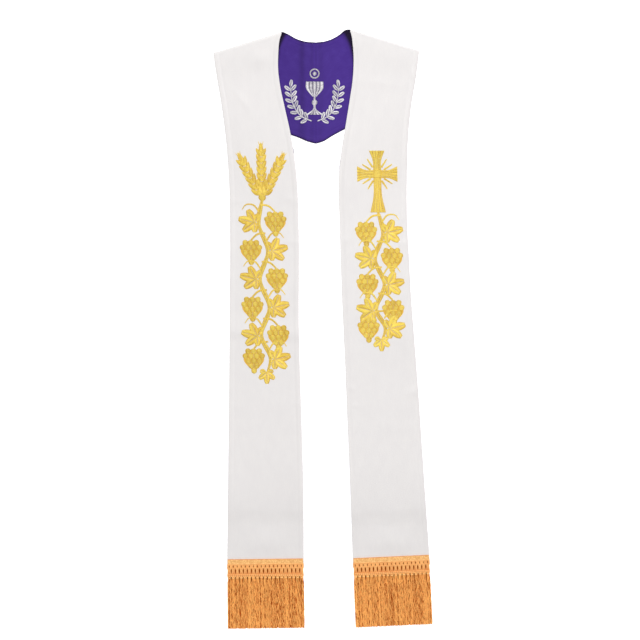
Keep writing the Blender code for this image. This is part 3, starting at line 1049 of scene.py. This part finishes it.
def made_real(source, name):
    """The source's evaluated shape as a plain mesh object, in the source's place."""
    graph = bpy.context.evaluated_depsgraph_get()
    mesh = bpy.data.meshes.new_from_object(source.evaluated_get(graph))
    bpy.data.objects.remove(source)
    mesh.name = name
    return linked(name, mesh)


def surface_height(objects):
    """A function from a plan point to the height of the highest of these objects there."""
    trees = []
    for obj in objects:
        mesh = obj.data
        polygons = [tuple(face.vertices) for face in mesh.polygons]
        trees.append(BVHTree.FromPolygons([v.co for v in mesh.vertices], polygons))

    def height(point):
        above = Vector((point[0], point[1], ABOVE_ALL))
        hits = [tree.ray_cast(above, Vector((0, 0, -1)))[0] for tree in trees]
        return max((hit.z for hit in hits if hit), default=0.0)

    return height


def over_seam(height):
    """The same height function, but bridging the ditch at the back's centre seam."""
    def bridged(point):
        return max(height((point[0] + reach, point[1])) for reach in (-SEAM_REACH, 0, SEAM_REACH))

    return bridged


def centre_seam(shift, material):
    """The thread that closes the back's seam, from its neck edge to its point."""
    top, bottom = LEFT.back_neck[-1].down + SEAM_ENDS, LEFT.back_hem[-1].down - SEAM_ENDS
    downs = np.linspace(top, bottom, SEAM_POINTS) * MM
    points = np.array([[0.0, -down, CLOTH - SEAM_SUNK] for down in downs]) + shift
    return threads("centre_seam", [Line(points, SEAM_TONE, 1.0)], SEAM_THREAD, CORD_SIDES, material)


def design_place(half, shift, axis):
    """A function from a place on a front's design, beside its straight axis, to its plan point."""
    ends = front_ends(half)
    high, low = [sum(end[0] for end in ends(down)) / 2 for down in (axis.first, axis.last)]

    def place(aside, down):
        middle = high + (low - high) * (down - axis.first) / (axis.last - axis.first)
        return np.array([middle + half.side * (axis.aside + aside) * MM, -down * MM]) + shift[:2]

    return place


def back_middle(shift):
    """A function from a place on the back, to the right of its middle, to its plan point."""
    def place(aside, down):
        return np.array([aside * MM, -down * MM]) + shift[:2]

    return place


def heading(turn):
    """The way that a turn points, in (aside, down): 0 towards the neck and 90 outwards."""
    return np.array([math.sin(math.radians(turn)), -math.cos(math.radians(turn))])


def stroke_bands(stroke):
    """A stroke's stitched bands, side by side where it is wide."""
    line, width = path(stroke.points), smooth(np.linspace(0, 1, len(stroke.widths)), stroke.widths)
    length = np.linalg.norm(np.diff(np.asarray(stroke.points, float), axis=0), axis=1).sum()
    shares = np.linspace(0, 1, max(STROKE_LEAST, int(length / STROKE_STEP)))
    middle = np.array([line(share) for share in shares])
    way = np.gradient(middle, axis=0)
    way /= np.linalg.norm(way, axis=1)[:, None]
    side = np.stack([way[:, 1], -way[:, 0]], 1)
    half_width = np.array([float(width(share)) / 2 for share in shares])[:, None]
    lanes = max(1, math.ceil(float(half_width.max()) * 2 / LANE_WIDTH - LANE_SPARE))
    bands = []
    for lane in range(lanes):
        low, high = 2 * lane / lanes - 1, 2 * (lane + 1) / lanes - 1
        gap_low, gap_high = (LANE_GAP if lane else 0), (LANE_GAP if lane < lanes - 1 else 0)
        bands.append((
            middle + side * (half_width * low + gap_low / 2),
            middle + side * (half_width * high - gap_high / 2),
        ))
    return bands


def leaf_bands(leaf):
    """A leaf's two halves, stitched outwards from its midrib towards its tip."""
    way = heading(leaf.turn)
    side = np.array([-way[1], way[0]])
    shares = np.linspace(0, 1, LEAF_POINTS)
    base = np.array([leaf.aside, leaf.down])
    rib = base + shares[:, None] * way * leaf.length
    ahead = np.minimum(shares + LEAF_AHEAD, 1)
    wide = np.sin(np.pi * shares**LEAF_SKEW) ** LEAF_FULLNESS * leaf.width / 2 + LEAF_LEAST
    bands = []
    for sign in (-1, 1):
        rim = base + ahead[:, None] * way * leaf.length + side * sign * wide[:, None]
        bands.append((rib + side * sign * LANE_GAP, rim))
    return bands


def berry_bands(berry):
    """A berry's one band of stitches."""
    down = np.linspace(-BERRY_END, BERRY_END, BERRY_POINTS) * berry.radius
    reach = np.sqrt(berry.radius**2 - down**2)
    centre = np.array([berry.aside, berry.down])
    return [tuple(centre + np.stack([sign * reach, down], 1) for sign in (-1, 1))]


def shape_bands(shape):
    """The stitched bands of any shape."""
    makers = {Stroke: stroke_bands, Ground: stroke_bands, Leaf: leaf_bands, Berry: berry_bands}
    return makers[type(shape)](shape)


def stitches(band, place, height, sheen, chance):
    """The stitches that fill one band, as lines over the cloth, and the band's edges."""
    edges = [np.array([place(*point) for point in line]) for line in band]
    middle = (edges[0] + edges[1]) / 2
    run = np.concatenate([[0], np.cumsum(np.linalg.norm(np.diff(middle, axis=0), axis=1))])
    count = max(2, int(run[-1] / (THREAD_PITCH * MM)))
    lines = []
    for i in range(count):
        at = run[-1] * (i + 0.5) / count
        ends = []
        for edge, ahead in zip(edges, (0, STITCH_SLANT * MM)):
            spot = min(at + ahead, run[-1])
            jitter = chance.uniform(-STITCH_JITTER, STITCH_JITTER) * MM
            ends.append(np.array([np.interp(spot, run, edge[:, axis]) for axis in (0, 1)]) + jitter)
        length = np.linalg.norm(ends[1] - ends[0])
        top = min(STITCH_TOP, length * STITCH_RISE) + THREAD_RADIUS * THREAD_LIFT
        points = []
        for share in STITCH_SHARES:
            spot = ends[0] + (ends[1] - ends[0]) * share
            points.append([*spot, height(spot) + top * 4 * share * (1 - share)])
        # Each stitch's tone: the band's painted sheen, a random change, and the painted highlight and
        # shade along the stitch
        tone = sheen + chance.uniform(-STITCH_VARIES, STITCH_VARIES) + np.array(STITCH_HIGHLIGHT_AND_SHADE)
        lines.append(Line(np.array(points), tone, 1.0))
    return lines, edges


def underlay(name, bands, height, material):
    """The flat stitching under the satin stitches, one ribbon for each band."""
    verts, faces = [], []
    for left, right in bands:
        start = len(verts)
        for pair in zip(left, right):
            verts.extend([*spot, height(spot) + UNDERLAY_LIFT] for spot in pair)
        for i in range(len(left) - 1):
            a = start + 2 * i
            faces.append((a, a + 1, a + 3, a + 2))
    mesh = bpy.data.meshes.new(name)
    mesh.from_pydata(verts, [], faces)
    for face in mesh.polygons:
        if face.normal.z < 0:
            face.flip()
    mesh.materials.append(material)
    return linked(name, mesh)


def embroider(name, shapes, place, height, sheens, material, under):
    """A stitched design on a cloth: its satin stitches and the underlay below them."""
    chance = random.Random(name)
    lines, bands = [], []
    for shape in shapes:
        for band in shape_bands(shape):
            # Each band takes a painted sheen from the range
            made, edges = stitches(band, place, height, chance.uniform(*sheens), chance)
            bands.append(edges)
            if type(shape) is not Ground:
                lines.extend(made)
    return [
        threads(name, lines, THREAD_RADIUS, THREAD_SIDES, material),
        underlay(name + "_underlay", bands, height, under),
    ]


def vine_leaf(aside, down, turn, length):
    """A vine leaf with five pointed lobes round its stalk's end."""
    return [
        Leaf(aside, down, turn + lobe.turn, length * lobe.length, length * lobe.width)
        for lobe in LEAF_LOBES
    ]


def bunch(aside, down):
    """A bunch of grapes hanging down, widest at its top, on a ground of flat stitches."""
    pitch, drop = BERRY_RADIUS * BERRY_PITCH, BERRY_RADIUS * BERRY_ROW
    bottom = down + (len(BUNCH_ROWS) - 1) * drop
    line = ((aside, down - BERRY_RADIUS * BUNCH_TOP), (aside, down + drop), (aside, bottom))
    counts = (BUNCH_ROWS[0], BUNCH_ROWS[1], BUNCH_ROWS[-1])
    widths = [count * pitch * share for count, share in zip(counts, BUNCH_GROUND)]
    shapes = [Ground(line, widths)]
    for i, count in enumerate(BUNCH_ROWS):
        for j in range(count):
            across = (j - (count - 1) / 2) * pitch
            shapes.append(Berry(aside + across, down + i * drop, BERRY_RADIUS))
    return shapes


def wheat_ear(ear):
    """An ear of wheat: pairs of grains up a stalk, one at its tip, and its beard."""
    way = heading(ear.turn)
    base = np.array([ear.aside, ear.down])
    tip = base + way * ear.length
    step = ear.length / ear.pairs
    shapes = [Stroke((base, tip), EAR_STALK)]
    for i in range(ear.pairs):
        spot = base + way * step * (i + GRAIN_START)
        for spread in (-GRAIN_SPREAD, GRAIN_SPREAD):
            shapes.append(grain(spot, ear.turn + spread, step * GRAIN_LENGTH))
    shapes.append(grain(tip - way * step * GRAIN_START, ear.turn, step * TIP_GRAIN_LENGTH))
    for spread in (-BEARD_SPREAD, BEARD_SPREAD):
        hair = heading(ear.turn + spread)
        shapes.append(Stroke([tip + hair * reach for reach in BEARD_REACH], BEARD_WIDTHS))
    return shapes


def grain(spot, turn, length):
    """One grain of wheat."""
    way = heading(turn)
    first, last = GRAIN_ENDS
    ends = (spot, spot + way * length * 0.5, spot + way * length)
    return Stroke(ends, (first, *(length * share for share in GRAIN_WIDTHS), last))


def flared_cross(cross):
    """A plain cross whose arms widen to their ends, with short rays between them."""
    centre = np.array([cross.aside, cross.down])
    shapes = []
    for turn, length in zip((0, 90, -90, 180), (cross.up, cross.side, cross.side, cross.foot)):
        reaches = (cross.narrow * ARM_START, length * ARM_WAIST, length)
        ends = [centre + heading(turn) * reach for reach in reaches]
        shapes.append(Stroke(ends, (cross.narrow, cross.narrow * WAIST_WIDTH, cross.wide)))
    for turn in RAY_TURNS:
        ends = [centre + heading(turn) * reach for reach in RAY_REACH]
        shapes.append(Stroke(ends, RAY_WIDTHS))
    shapes.append(Berry(*centre, cross.narrow * CROSS_BOSS))
    return shapes


def placed(stroke, side, down):
    """A stroke of the vine on one side of its stem, from a node at this distance down."""
    points = [(side * aside, down + below) for aside, below in stroke.points]
    return Stroke(points, stroke.widths)


def vine(nodes, top, end):
    """A winding stem that bears a leaf on one side and a bunch on the other at each node."""
    stem = [(0, top)]
    shapes = []
    for i, down in enumerate(nodes):
        side = -1 if i % 2 else 1
        stem.append((side * STEM_SWAY, down))
        root = side * (STEM_SWAY + TWIG_REACH)
        twig = ((side * STEM_SWAY, down + TWIG_RISE), (root, down))
        shapes.append(Stroke(twig, (TWIG_WIDTH, TWIG_WIDTH)))
        shapes.extend(vine_leaf(root, down, side * LEAF_TURN, LEAF_LENGTH))
        shapes.append(placed(STALK, side, down))
        shapes.extend(bunch(side * BUNCH_ASIDE, down + BUNCH_DOWN))
        shapes.append(placed(CURL, side, down))
    stem.append((0, end))
    first, wide, narrow, last = STEM_WIDTHS
    widths = [first] + [width for _ in nodes for width in (wide, narrow)] + [last]
    shapes.append(Stroke(stem, widths))
    shapes.extend(vine_leaf(0, end - END_LEAF_UP, 180, LEAF_LENGTH * END_LEAF))
    return shapes


def left_design():
    """The left front's design: three ears of wheat over a vine with leaves and grapes."""
    shapes = vine(LEFT_NODES, *VINE_ENDS["left"])
    for ear in WHEAT_EARS:
        shapes.extend(wheat_ear(ear))
    shapes.append(EAR_KNOT)
    return shapes


def right_design():
    """The right front's design: a plain cross over a vine with leaves and grapes."""
    return flared_cross(GOLD_CROSS) + vine(RIGHT_NODES, *VINE_ENDS["right"])


def upright(stroke):
    """A stroke straight down the middle of the silver design."""
    return Stroke([(SILVER_MIDDLE, down) for down in stroke.points], stroke.widths)


def spray(side):
    """A leafy spray on one side of the cup."""
    stem = [(SILVER_MIDDLE + side * aside, down) for aside, down in SPRAY_STEM]
    shapes = [Stroke(stem, SPRAY_WIDTHS)]
    spots = path(stem)
    for share in np.linspace(SPRAY_FIRST, SPRAY_LAST, SPRAY_PAIRS):
        along = spots(min(share + SPRAY_STEP, 1)) - spots(share - SPRAY_STEP)
        turn = math.degrees(math.atan2(along[0], -along[1]))
        for spread in (-SPRAY_SPREAD, SPRAY_SPREAD):
            shapes.append(Leaf(*spots(share), turn + spread, *SPRAY_LEAF))
    return shapes + [Leaf(*spots(1.0), SPRAY_END_TURN * side, *SPRAY_LEAF)]


def silver_design():
    """The back's design: a cup and a round wafer between two leafy sprays."""
    middle = SILVER_MIDDLE
    turns = np.linspace(0, 2 * math.pi, WAFER_POINTS)
    ring = [
        (middle + WAFER_RADIUS * math.sin(turn), WAFER_DOWN - WAFER_RADIUS * math.cos(turn))
        for turn in turns
    ]
    return [
        Stroke(ring, (WAFER_RIM, WAFER_RIM)),
        Berry(middle, WAFER_DOWN, WAFER_BOSS),
        upright(CUP_BOWL),
        upright(CUP_STEM),
        Berry(middle, CUP_KNOT_DOWN, CUP_KNOT_RADIUS),
        upright(CUP_FOOT),
        *spray(-1),
        *spray(1),
    ]


def fringe_place(half, shift):
    """A function from places on the fringe, across and past the hem, to points in space."""
    outer, inner = front_ends(half)(half.hem)
    centre = (outer + inner) / 2
    across = (inner - outer) / np.linalg.norm(inner - outer) * -half.side
    past = np.array([across[1], -across[0]])

    def place(along, distance, height):
        return np.array([*(centre + across * along + past * distance), height]) + shift

    return place


def header_size(distance, column):
    """The header's "under", "top" or "width" at this distance past the hem."""
    return float(
        np.interp(distance / MM, [p.past for p in HEADER], [getattr(p, column) for p in HEADER])
    ) * MM


def tuft_centres():
    """Where the tufts of the fringe stand across the header, and how far apart."""
    width = HEADER[-1].width * MM
    pitch = width / TUFTS
    return [-width / 2 + pitch * (i + 0.5) for i in range(TUFTS)], pitch


def strand(place, root, end, chance):
    """The points of one crinkled strand, and each stretch's tone: a painted highlight where its crimps
    would catch the light, and random clumps.
    """
    level = chance.uniform(*STRAND_LEVELS) * MM
    length = STRAND_END - chance.uniform(0, STRAND_VARIES) * MM
    crimp_start, kink_start = chance.uniform(0, 2 * math.pi), chance.uniform(0, 2 * math.pi)
    crimp_length = CRIMP_LENGTH * chance.uniform(*CRIMP_VARIES)
    points, painted_glints_and_clumps = [], []
    for distance in np.linspace(STRAND_ROOT, length, STRAND_POINTS):
        share = (distance - STRAND_ROOT) / (STRAND_END - STRAND_ROOT)
        free = min(1.0, share * CRIMP_RATE)
        crimp = crimp_start + 2 * math.pi * distance / crimp_length
        kink = kink_start + 2 * math.pi * distance / KINK_LENGTH
        spread = STRAND_SPREAD * ease(share * SPREAD_RATE) + (1 - STRAND_SPREAD) * share
        along = root + (end - root) * spread
        along += free * (CRIMP * math.sin(crimp) + KINK * math.sin(kink))
        along = max(-STRAND_REACH, min(STRAND_REACH, along))
        height = level * (1 - STRAND_FALL * share) + CRIMP * CRIMP_LIFT * math.cos(crimp)
        points.append(place(along, distance, max(height, STRAND_RADIUS * STRAND_CLEAR)))
        clump = noise.noise(Vector((along / CLUMP_SIZE[0], distance / CLUMP_SIZE[1], level / MM)))
        # Painted highlight on the crimp, plus random clumps of tone
        painted_glints_and_clumps.append(GLINT * math.cos(crimp + GLINT_AHEAD) + CLUMP * clump)
    return np.array(points), np.array(painted_glints_and_clumps)


def fringe_strands(half, shift, material):
    """The hanging yarns of one fringe: crinkled ones over an even layer that closes the gaps."""
    place = fringe_place(half, shift)
    chance = random.Random(f"strands {half.name}")
    centres, pitch = tuft_centres()
    spread = END_SPREAD / (HEADER[-1].width * MM)
    lines = []
    for centre in centres:
        gathered = chance.uniform(*TUFT_ROOTS)
        for i in range(UPPER_STRANDS):
            aside = (2 * (i + chance.random()) / UPPER_STRANDS - 1) * pitch
            root = centre + gathered * aside
            end = (centre + TUFT_END * aside + chance.uniform(-TUFT_STRAY, TUFT_STRAY) * pitch) * spread
            end = max(-END_SPREAD / 2, min(END_SPREAD / 2, end))
            points, painted_glints_and_clumps = strand(place, root, end, chance)
            lines.append(Line(points, chance.uniform(*STRAND_TONES) + painted_glints_and_clumps, 1.0))
        for i in range(LOWER_STRANDS):
            aside = (i - (LOWER_STRANDS - 1) / 2) * pitch / LOWER_STRANDS
            lines.append(lower_strand(place, centre, aside, spread, chance))
    name = f"fringe_strands_{half.name}"
    return threads(name, lines, STRAND_RADIUS, STRAND_SIDES, material)


def lower_strand(place, centre, aside, spread, chance):
    """A straight yarn of the even layer under the crinkled ones, toned dark as painted shade."""
    length = STRAND_END - chance.uniform(*LOWER_VARIES) * MM
    height = STRAND_RADIUS * LOWER_GIRTH * LOWER_CLEAR
    points = []
    for share in np.linspace(0, 1, LOWER_POINTS) ** LOWER_BUNCHING:
        distance = STRAND_ROOT + (length - STRAND_ROOT) * share
        gathered = 1 - LOWER_GATHER * (1 - ease(share * LOWER_GATHER_RATE))
        along = (centre + aside * gathered) * (1 + (spread - 1) * share)
        points.append(place(along, distance, height))
    return Line(np.array(points), chance.uniform(*LOWER_PAINTED_SHADE_TONES), LOWER_GIRTH)


def header_lattice(half, shift, material):
    """The header's cords: its open lattice, its edges and scallops, and the braid below them."""
    place = fringe_place(half, shift)
    centres, pitch = tuft_centres()
    chance = random.Random(f"header {half.name}")
    lines = []
    for centre in centres:
        gather, part = chance.uniform(*LATTICE_GATHER), chance.uniform(*LATTICE_PART)
        for reach in LATTICE_REACHES:
            tone = chance.uniform(*LATTICE_VARIES)
            lines.append(lattice_cord(place, centre, pitch, reach, (gather, part, tone)))
    lines.extend(cord_across(place, cord, pitch) for cord in CORDS_ACROSS)
    lines.extend(side_cord(place, side) for side in (-0.5, 0.5))
    lines.extend(scallop(place, first, second) for first, second in zip(centres, centres[1:]))
    for centre in centres:
        lines.append(braid_loop(place, centre, pitch, chance.uniform(*LOOP_VARIES)))
    return threads(f"fringe_cords_{half.name}", lines, CORD_RADIUS, CORD_SIDES, material)


def lattice_cord(place, centre, pitch, reach, manner):
    """A cord of the lattice, which parts round a small hole and then gathers beside a longer one."""
    gather, part, tone = manner
    points, tones = [], []
    for past in np.linspace(LATTICE_FROM, LATTICE_TO, LATTICE_POINTS):
        parted = math.exp(-(((past - HOLE_PLACE) / HOLE_WIDTH) ** 2))
        gathered = ease(past / GATHER_RUN) * (1 - ease((past - PART_FROM) / PART_RUN))
        along = LATTICE_WIDTH * reach * (1 - gather * gathered)
        along += parted * math.copysign(part * (HOLE_REACH - abs(reach)), reach)
        distance = past * MM
        height = header_size(distance, "top") - (LATTICE_SUNK + LATTICE_ARCH * abs(reach)) * MM
        points.append(place(centre + along * pitch, distance, height))
        # Painted shade: the cord darkens as it runs down into the header's lower part
        tones.append(LATTICE_TONE + tone - LATTICE_PAINTED_SHADE * ease((past - SHADE_FROM) / SHADE_RUN))
    return Line(np.array(points), np.array(tones), 1.0)


def cord_across(place, cord, pitch):
    """A straight cord across the header, beaded where it is braided, with its beads' swollen parts
    painted lighter as a highlight.
    """
    distance = cord.past * MM
    width = header_size(distance, "width")
    top = header_size(distance, "top") + ACROSS_LIFT
    alongs = np.linspace(-width / 2, width / 2, ACROSS_POINTS)
    beads = cord.beads * np.cos(4 * math.pi * alongs / pitch)
    points = np.array([place(along, distance, top) for along in alongs])
    # Painted highlight: the tone rises with the beads' girth
    return Line(points, cord.tone + beads, cord.girth * (1 + beads))


def scallop(place, first, second):
    """A small loop that hangs between two tufts."""
    points = []
    for share in np.linspace(0, 1, SCALLOP_POINTS):
        along = first + (second - first) * share
        hang = SCALLOP_PLACE + SCALLOP_DEPTH * abs(math.cos(math.pi * share))
        points.append(place(along, hang, header_size(SCALLOP_PLACE, "top") + SCALLOP_LIFT))
    return Line(np.array(points), SCALLOP_TONE, SCALLOP_GIRTH)


def side_cord(place, side):
    """The cord that closes the lattice at one end of the header."""
    points = []
    for distance in np.linspace(SIDE_FROM, SIDE_TO, SIDE_POINTS) * MM:
        along = side * (header_size(distance, "width") - SIDE_INSET)
        points.append(place(along, distance, header_size(distance, "top") - SIDE_SUNK))
    return Line(np.array(points), SIDE_TONE, SIDE_GIRTH)


def braid_loop(place, centre, pitch, tone):
    """One loop of the braid that holds the tufts."""
    points = []
    for share in np.linspace(-1, 1, LOOP_POINTS):
        distance = LOOP_TOP + LOOP_DEPTH * math.cos(math.pi / 2 * share)
        points.append(place(centre + share * LOOP_HALF * pitch, distance, LOOP_HEIGHT))
    return Line(np.array(points), LOOP_TONE + tone, LOOP_GIRTH)


def header_sheet(name, half, shift, distances, alongs_at, faces_at, material):
    """A closed sheet of the header, from its places across and its two faces at each place."""
    place = fringe_place(half, shift)
    below, above, uv = [], [], []
    for distance in distances * MM:
        alongs = alongs_at(header_size(distance, "width"))
        faces = [faces_at(along, distance) for along in alongs]
        below.append([place(along, distance, low) for along, (low, _) in zip(alongs, faces)])
        above.append([place(along, distance, high) for along, (_, high) in zip(alongs, faces)])
        uv.append([(along, distance) for along in alongs])
    return closed_wall(name, np.array(below), np.array(above), np.array(uv), material)


def header_band(half, shift, material):
    """The header's woven band, its weave a relief of crossing ridges."""
    shares = np.linspace(-0.5, 0.5, BAND_COLUMNS)

    def faces_at(along, distance):
        across, down = along / WEAVE_ACROSS, distance / WEAVE_DOWN
        ridge = math.sin(2 * math.pi * (across + down)) * math.sin(2 * math.pi * (across - down))
        return header_size(distance, "under"), header_size(distance, "top") + WEAVE_HEIGHT * ridge

    return header_sheet(
        f"fringe_band_{half.name}", half, shift, np.linspace(BAND_FROM, BAND_TO, BAND_ROWS),
        lambda width: shares * width, faces_at, material,
    )


def header_backing(half, shift, material):
    """The ground that shows between the cords of the header and the roots, made dark as painted shade.
    """
    shares = np.linspace(-0.5, 0.5, GROUND_COLUMNS)

    def faces_at(along, distance):
        top = max(header_size(distance, "under") + GROUND_LIFT, GROUND_LEAST)
        return top - GROUND_WALL, top

    return header_sheet(
        f"fringe_ground_{half.name}", half, shift, np.linspace(GROUND_FROM, GROUND_TO, GROUND_ROWS),
        lambda width: shares * (width - GROUND_INSET), faces_at, material,
    )


def studio(shift):
    """A pale floor, a soft light from the upper right, and the camera straight above."""
    bpy.ops.mesh.primitive_plane_add(size=FLOOR_SIDE, location=(0, 0, FLOOR_LEVEL))
    floor = bpy.context.object
    floor.name = "floor"
    floor.data.materials.append(glowing("floor_white", FLOOR_WHITE, FLOOR_GLOW))
    world = bpy.data.worlds.new("studio")
    world.use_nodes = True
    background = world.node_tree.nodes["Background"]
    background.inputs["Color"].default_value = (1, 1, 1, 1)
    background.inputs["Strength"].default_value = SKY_LIGHT
    bpy.context.scene.world = world
    soft_light("key", KEY_PLACE, KEY_SIZE, KEY_POWER)
    middle = np.array(PICTURE_CENTRE) * MM + shift[:2]
    camera = bpy.data.cameras.new("camera")
    camera.lens = LENS
    camera.sensor_width = SENSOR
    eye = linked("camera", camera)
    eye.location = (*middle, PICTURE_SIDE * PIXEL * LENS / SENSOR)
    bpy.context.scene.camera = eye
    bpy.context.scene.view_settings.view_transform = "Standard"


def soft_light(name, place, size, power):
    """A square soft light that faces the middle of the stole."""
    lamp = bpy.data.lights.new(name, "AREA")
    lamp.size = size
    lamp.energy = power
    obj = linked(name, lamp)
    obj.location = place
    obj.rotation_euler = (-Vector(place)).to_track_quat("-Z", "Y").to_euler()


def sheet_facts(cloth, half):
    """Works out a cloth's area and width; nothing uses them."""
    area = sum(face.area for face in cloth.data.polygons) / 2
    width = max(abs(edge.across) for edge in (*half.outer_edge, half.shoulder_tip)) * MM


def finishes():
    """Every material of the stole, by its short name."""
    return {
        "white": satin("white_satin", WHITE_SATIN, rough=0.42, specular=0.8),
        "purple": satin("purple_satin", PURPLE_SATIN, rough=0.5, specular=0.1),
        "seam": yarn("purple_thread", PURPLE_THREAD, THREAD_PLY, rough=0.6, specular=0.1),
        "gold": yarn("gold_thread", GOLD_THREAD, THREAD_PLY, rough=0.4, specular=0.6),
        "silver": yarn(
            "silver_thread", SILVER_THREAD, THREAD_PLY, rough=0.35, specular=0.6, metallic=0.2
        ),
        "trim": yarn("gold_fringe", GOLD_FRINGE, FRINGE_PLY, rough=0.5, specular=0.15),
        "braid": yarn("gold_braid", GOLD_BRAID, FRINGE_PLY, rough=0.45, specular=0.5),
        "woven": woven_band("gold_band", GOLD_BAND),
        "gold_under": plain("gold_underlay", GOLD_UNDERLAY, rough=0.7),
        "silver_under": plain("silver_underlay", SILVER_UNDERLAY, rough=0.7),
        "ground": plain("fringe_ground", FRINGE_GROUND_PAINTED_SHADE, rough=0.9),
    }


def dress_half(half, shapes, shift, finish):
    """The cloths, embroidery and fringe of one half, attached to the root, with the CAD parts that they
    replace hidden; gives its lining.
    """
    front = shell(half, shift, finish["white"])
    back = lining(half, shift, finish["purple"])
    place = design_place(half, shift, DESIGN_AXES[half.name])
    stitched = embroider(
        f"embroidery_{half.name}", shapes, place, surface_height([front]),
        GOLD_PAINTED_SHEENS[half.name], finish["gold"], finish["gold_under"],
    )
    trims = [
        fringe_strands(half, shift, finish["trim"]),
        header_lattice(half, shift, finish["braid"]),
        header_band(half, shift, finish["woven"]),
        header_backing(half, shift, finish["ground"]),
    ]
    for piece in (front, back, *stitched, *trims):
        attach(piece, "root")
    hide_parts(f"shell_{half.name}")
    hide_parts(f"lining_{half.name}")
    for piece in trims:
        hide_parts(f"fringe_{half.name}")
    sheet_facts(front, half)
    sheet_facts(back, half)
    return back


def main():
    """Builds the stole, then its studio."""
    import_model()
    shift = shift_of_frame()
    finish = finishes()
    linings = [
        dress_half(half, shapes, shift, finish)
        for half, shapes in ((LEFT, left_design()), (RIGHT, right_design()))
    ]
    on_back = embroider(
        "embroidery_back", silver_design(), back_middle(shift), over_seam(surface_height(linings)),
        SILVER_PAINTED_SHEENS, finish["silver"], finish["silver_under"],
    )
    for piece in (*on_back, centre_seam(shift, finish["seam"])):
        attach(piece, "root")
    studio(shift)


main()
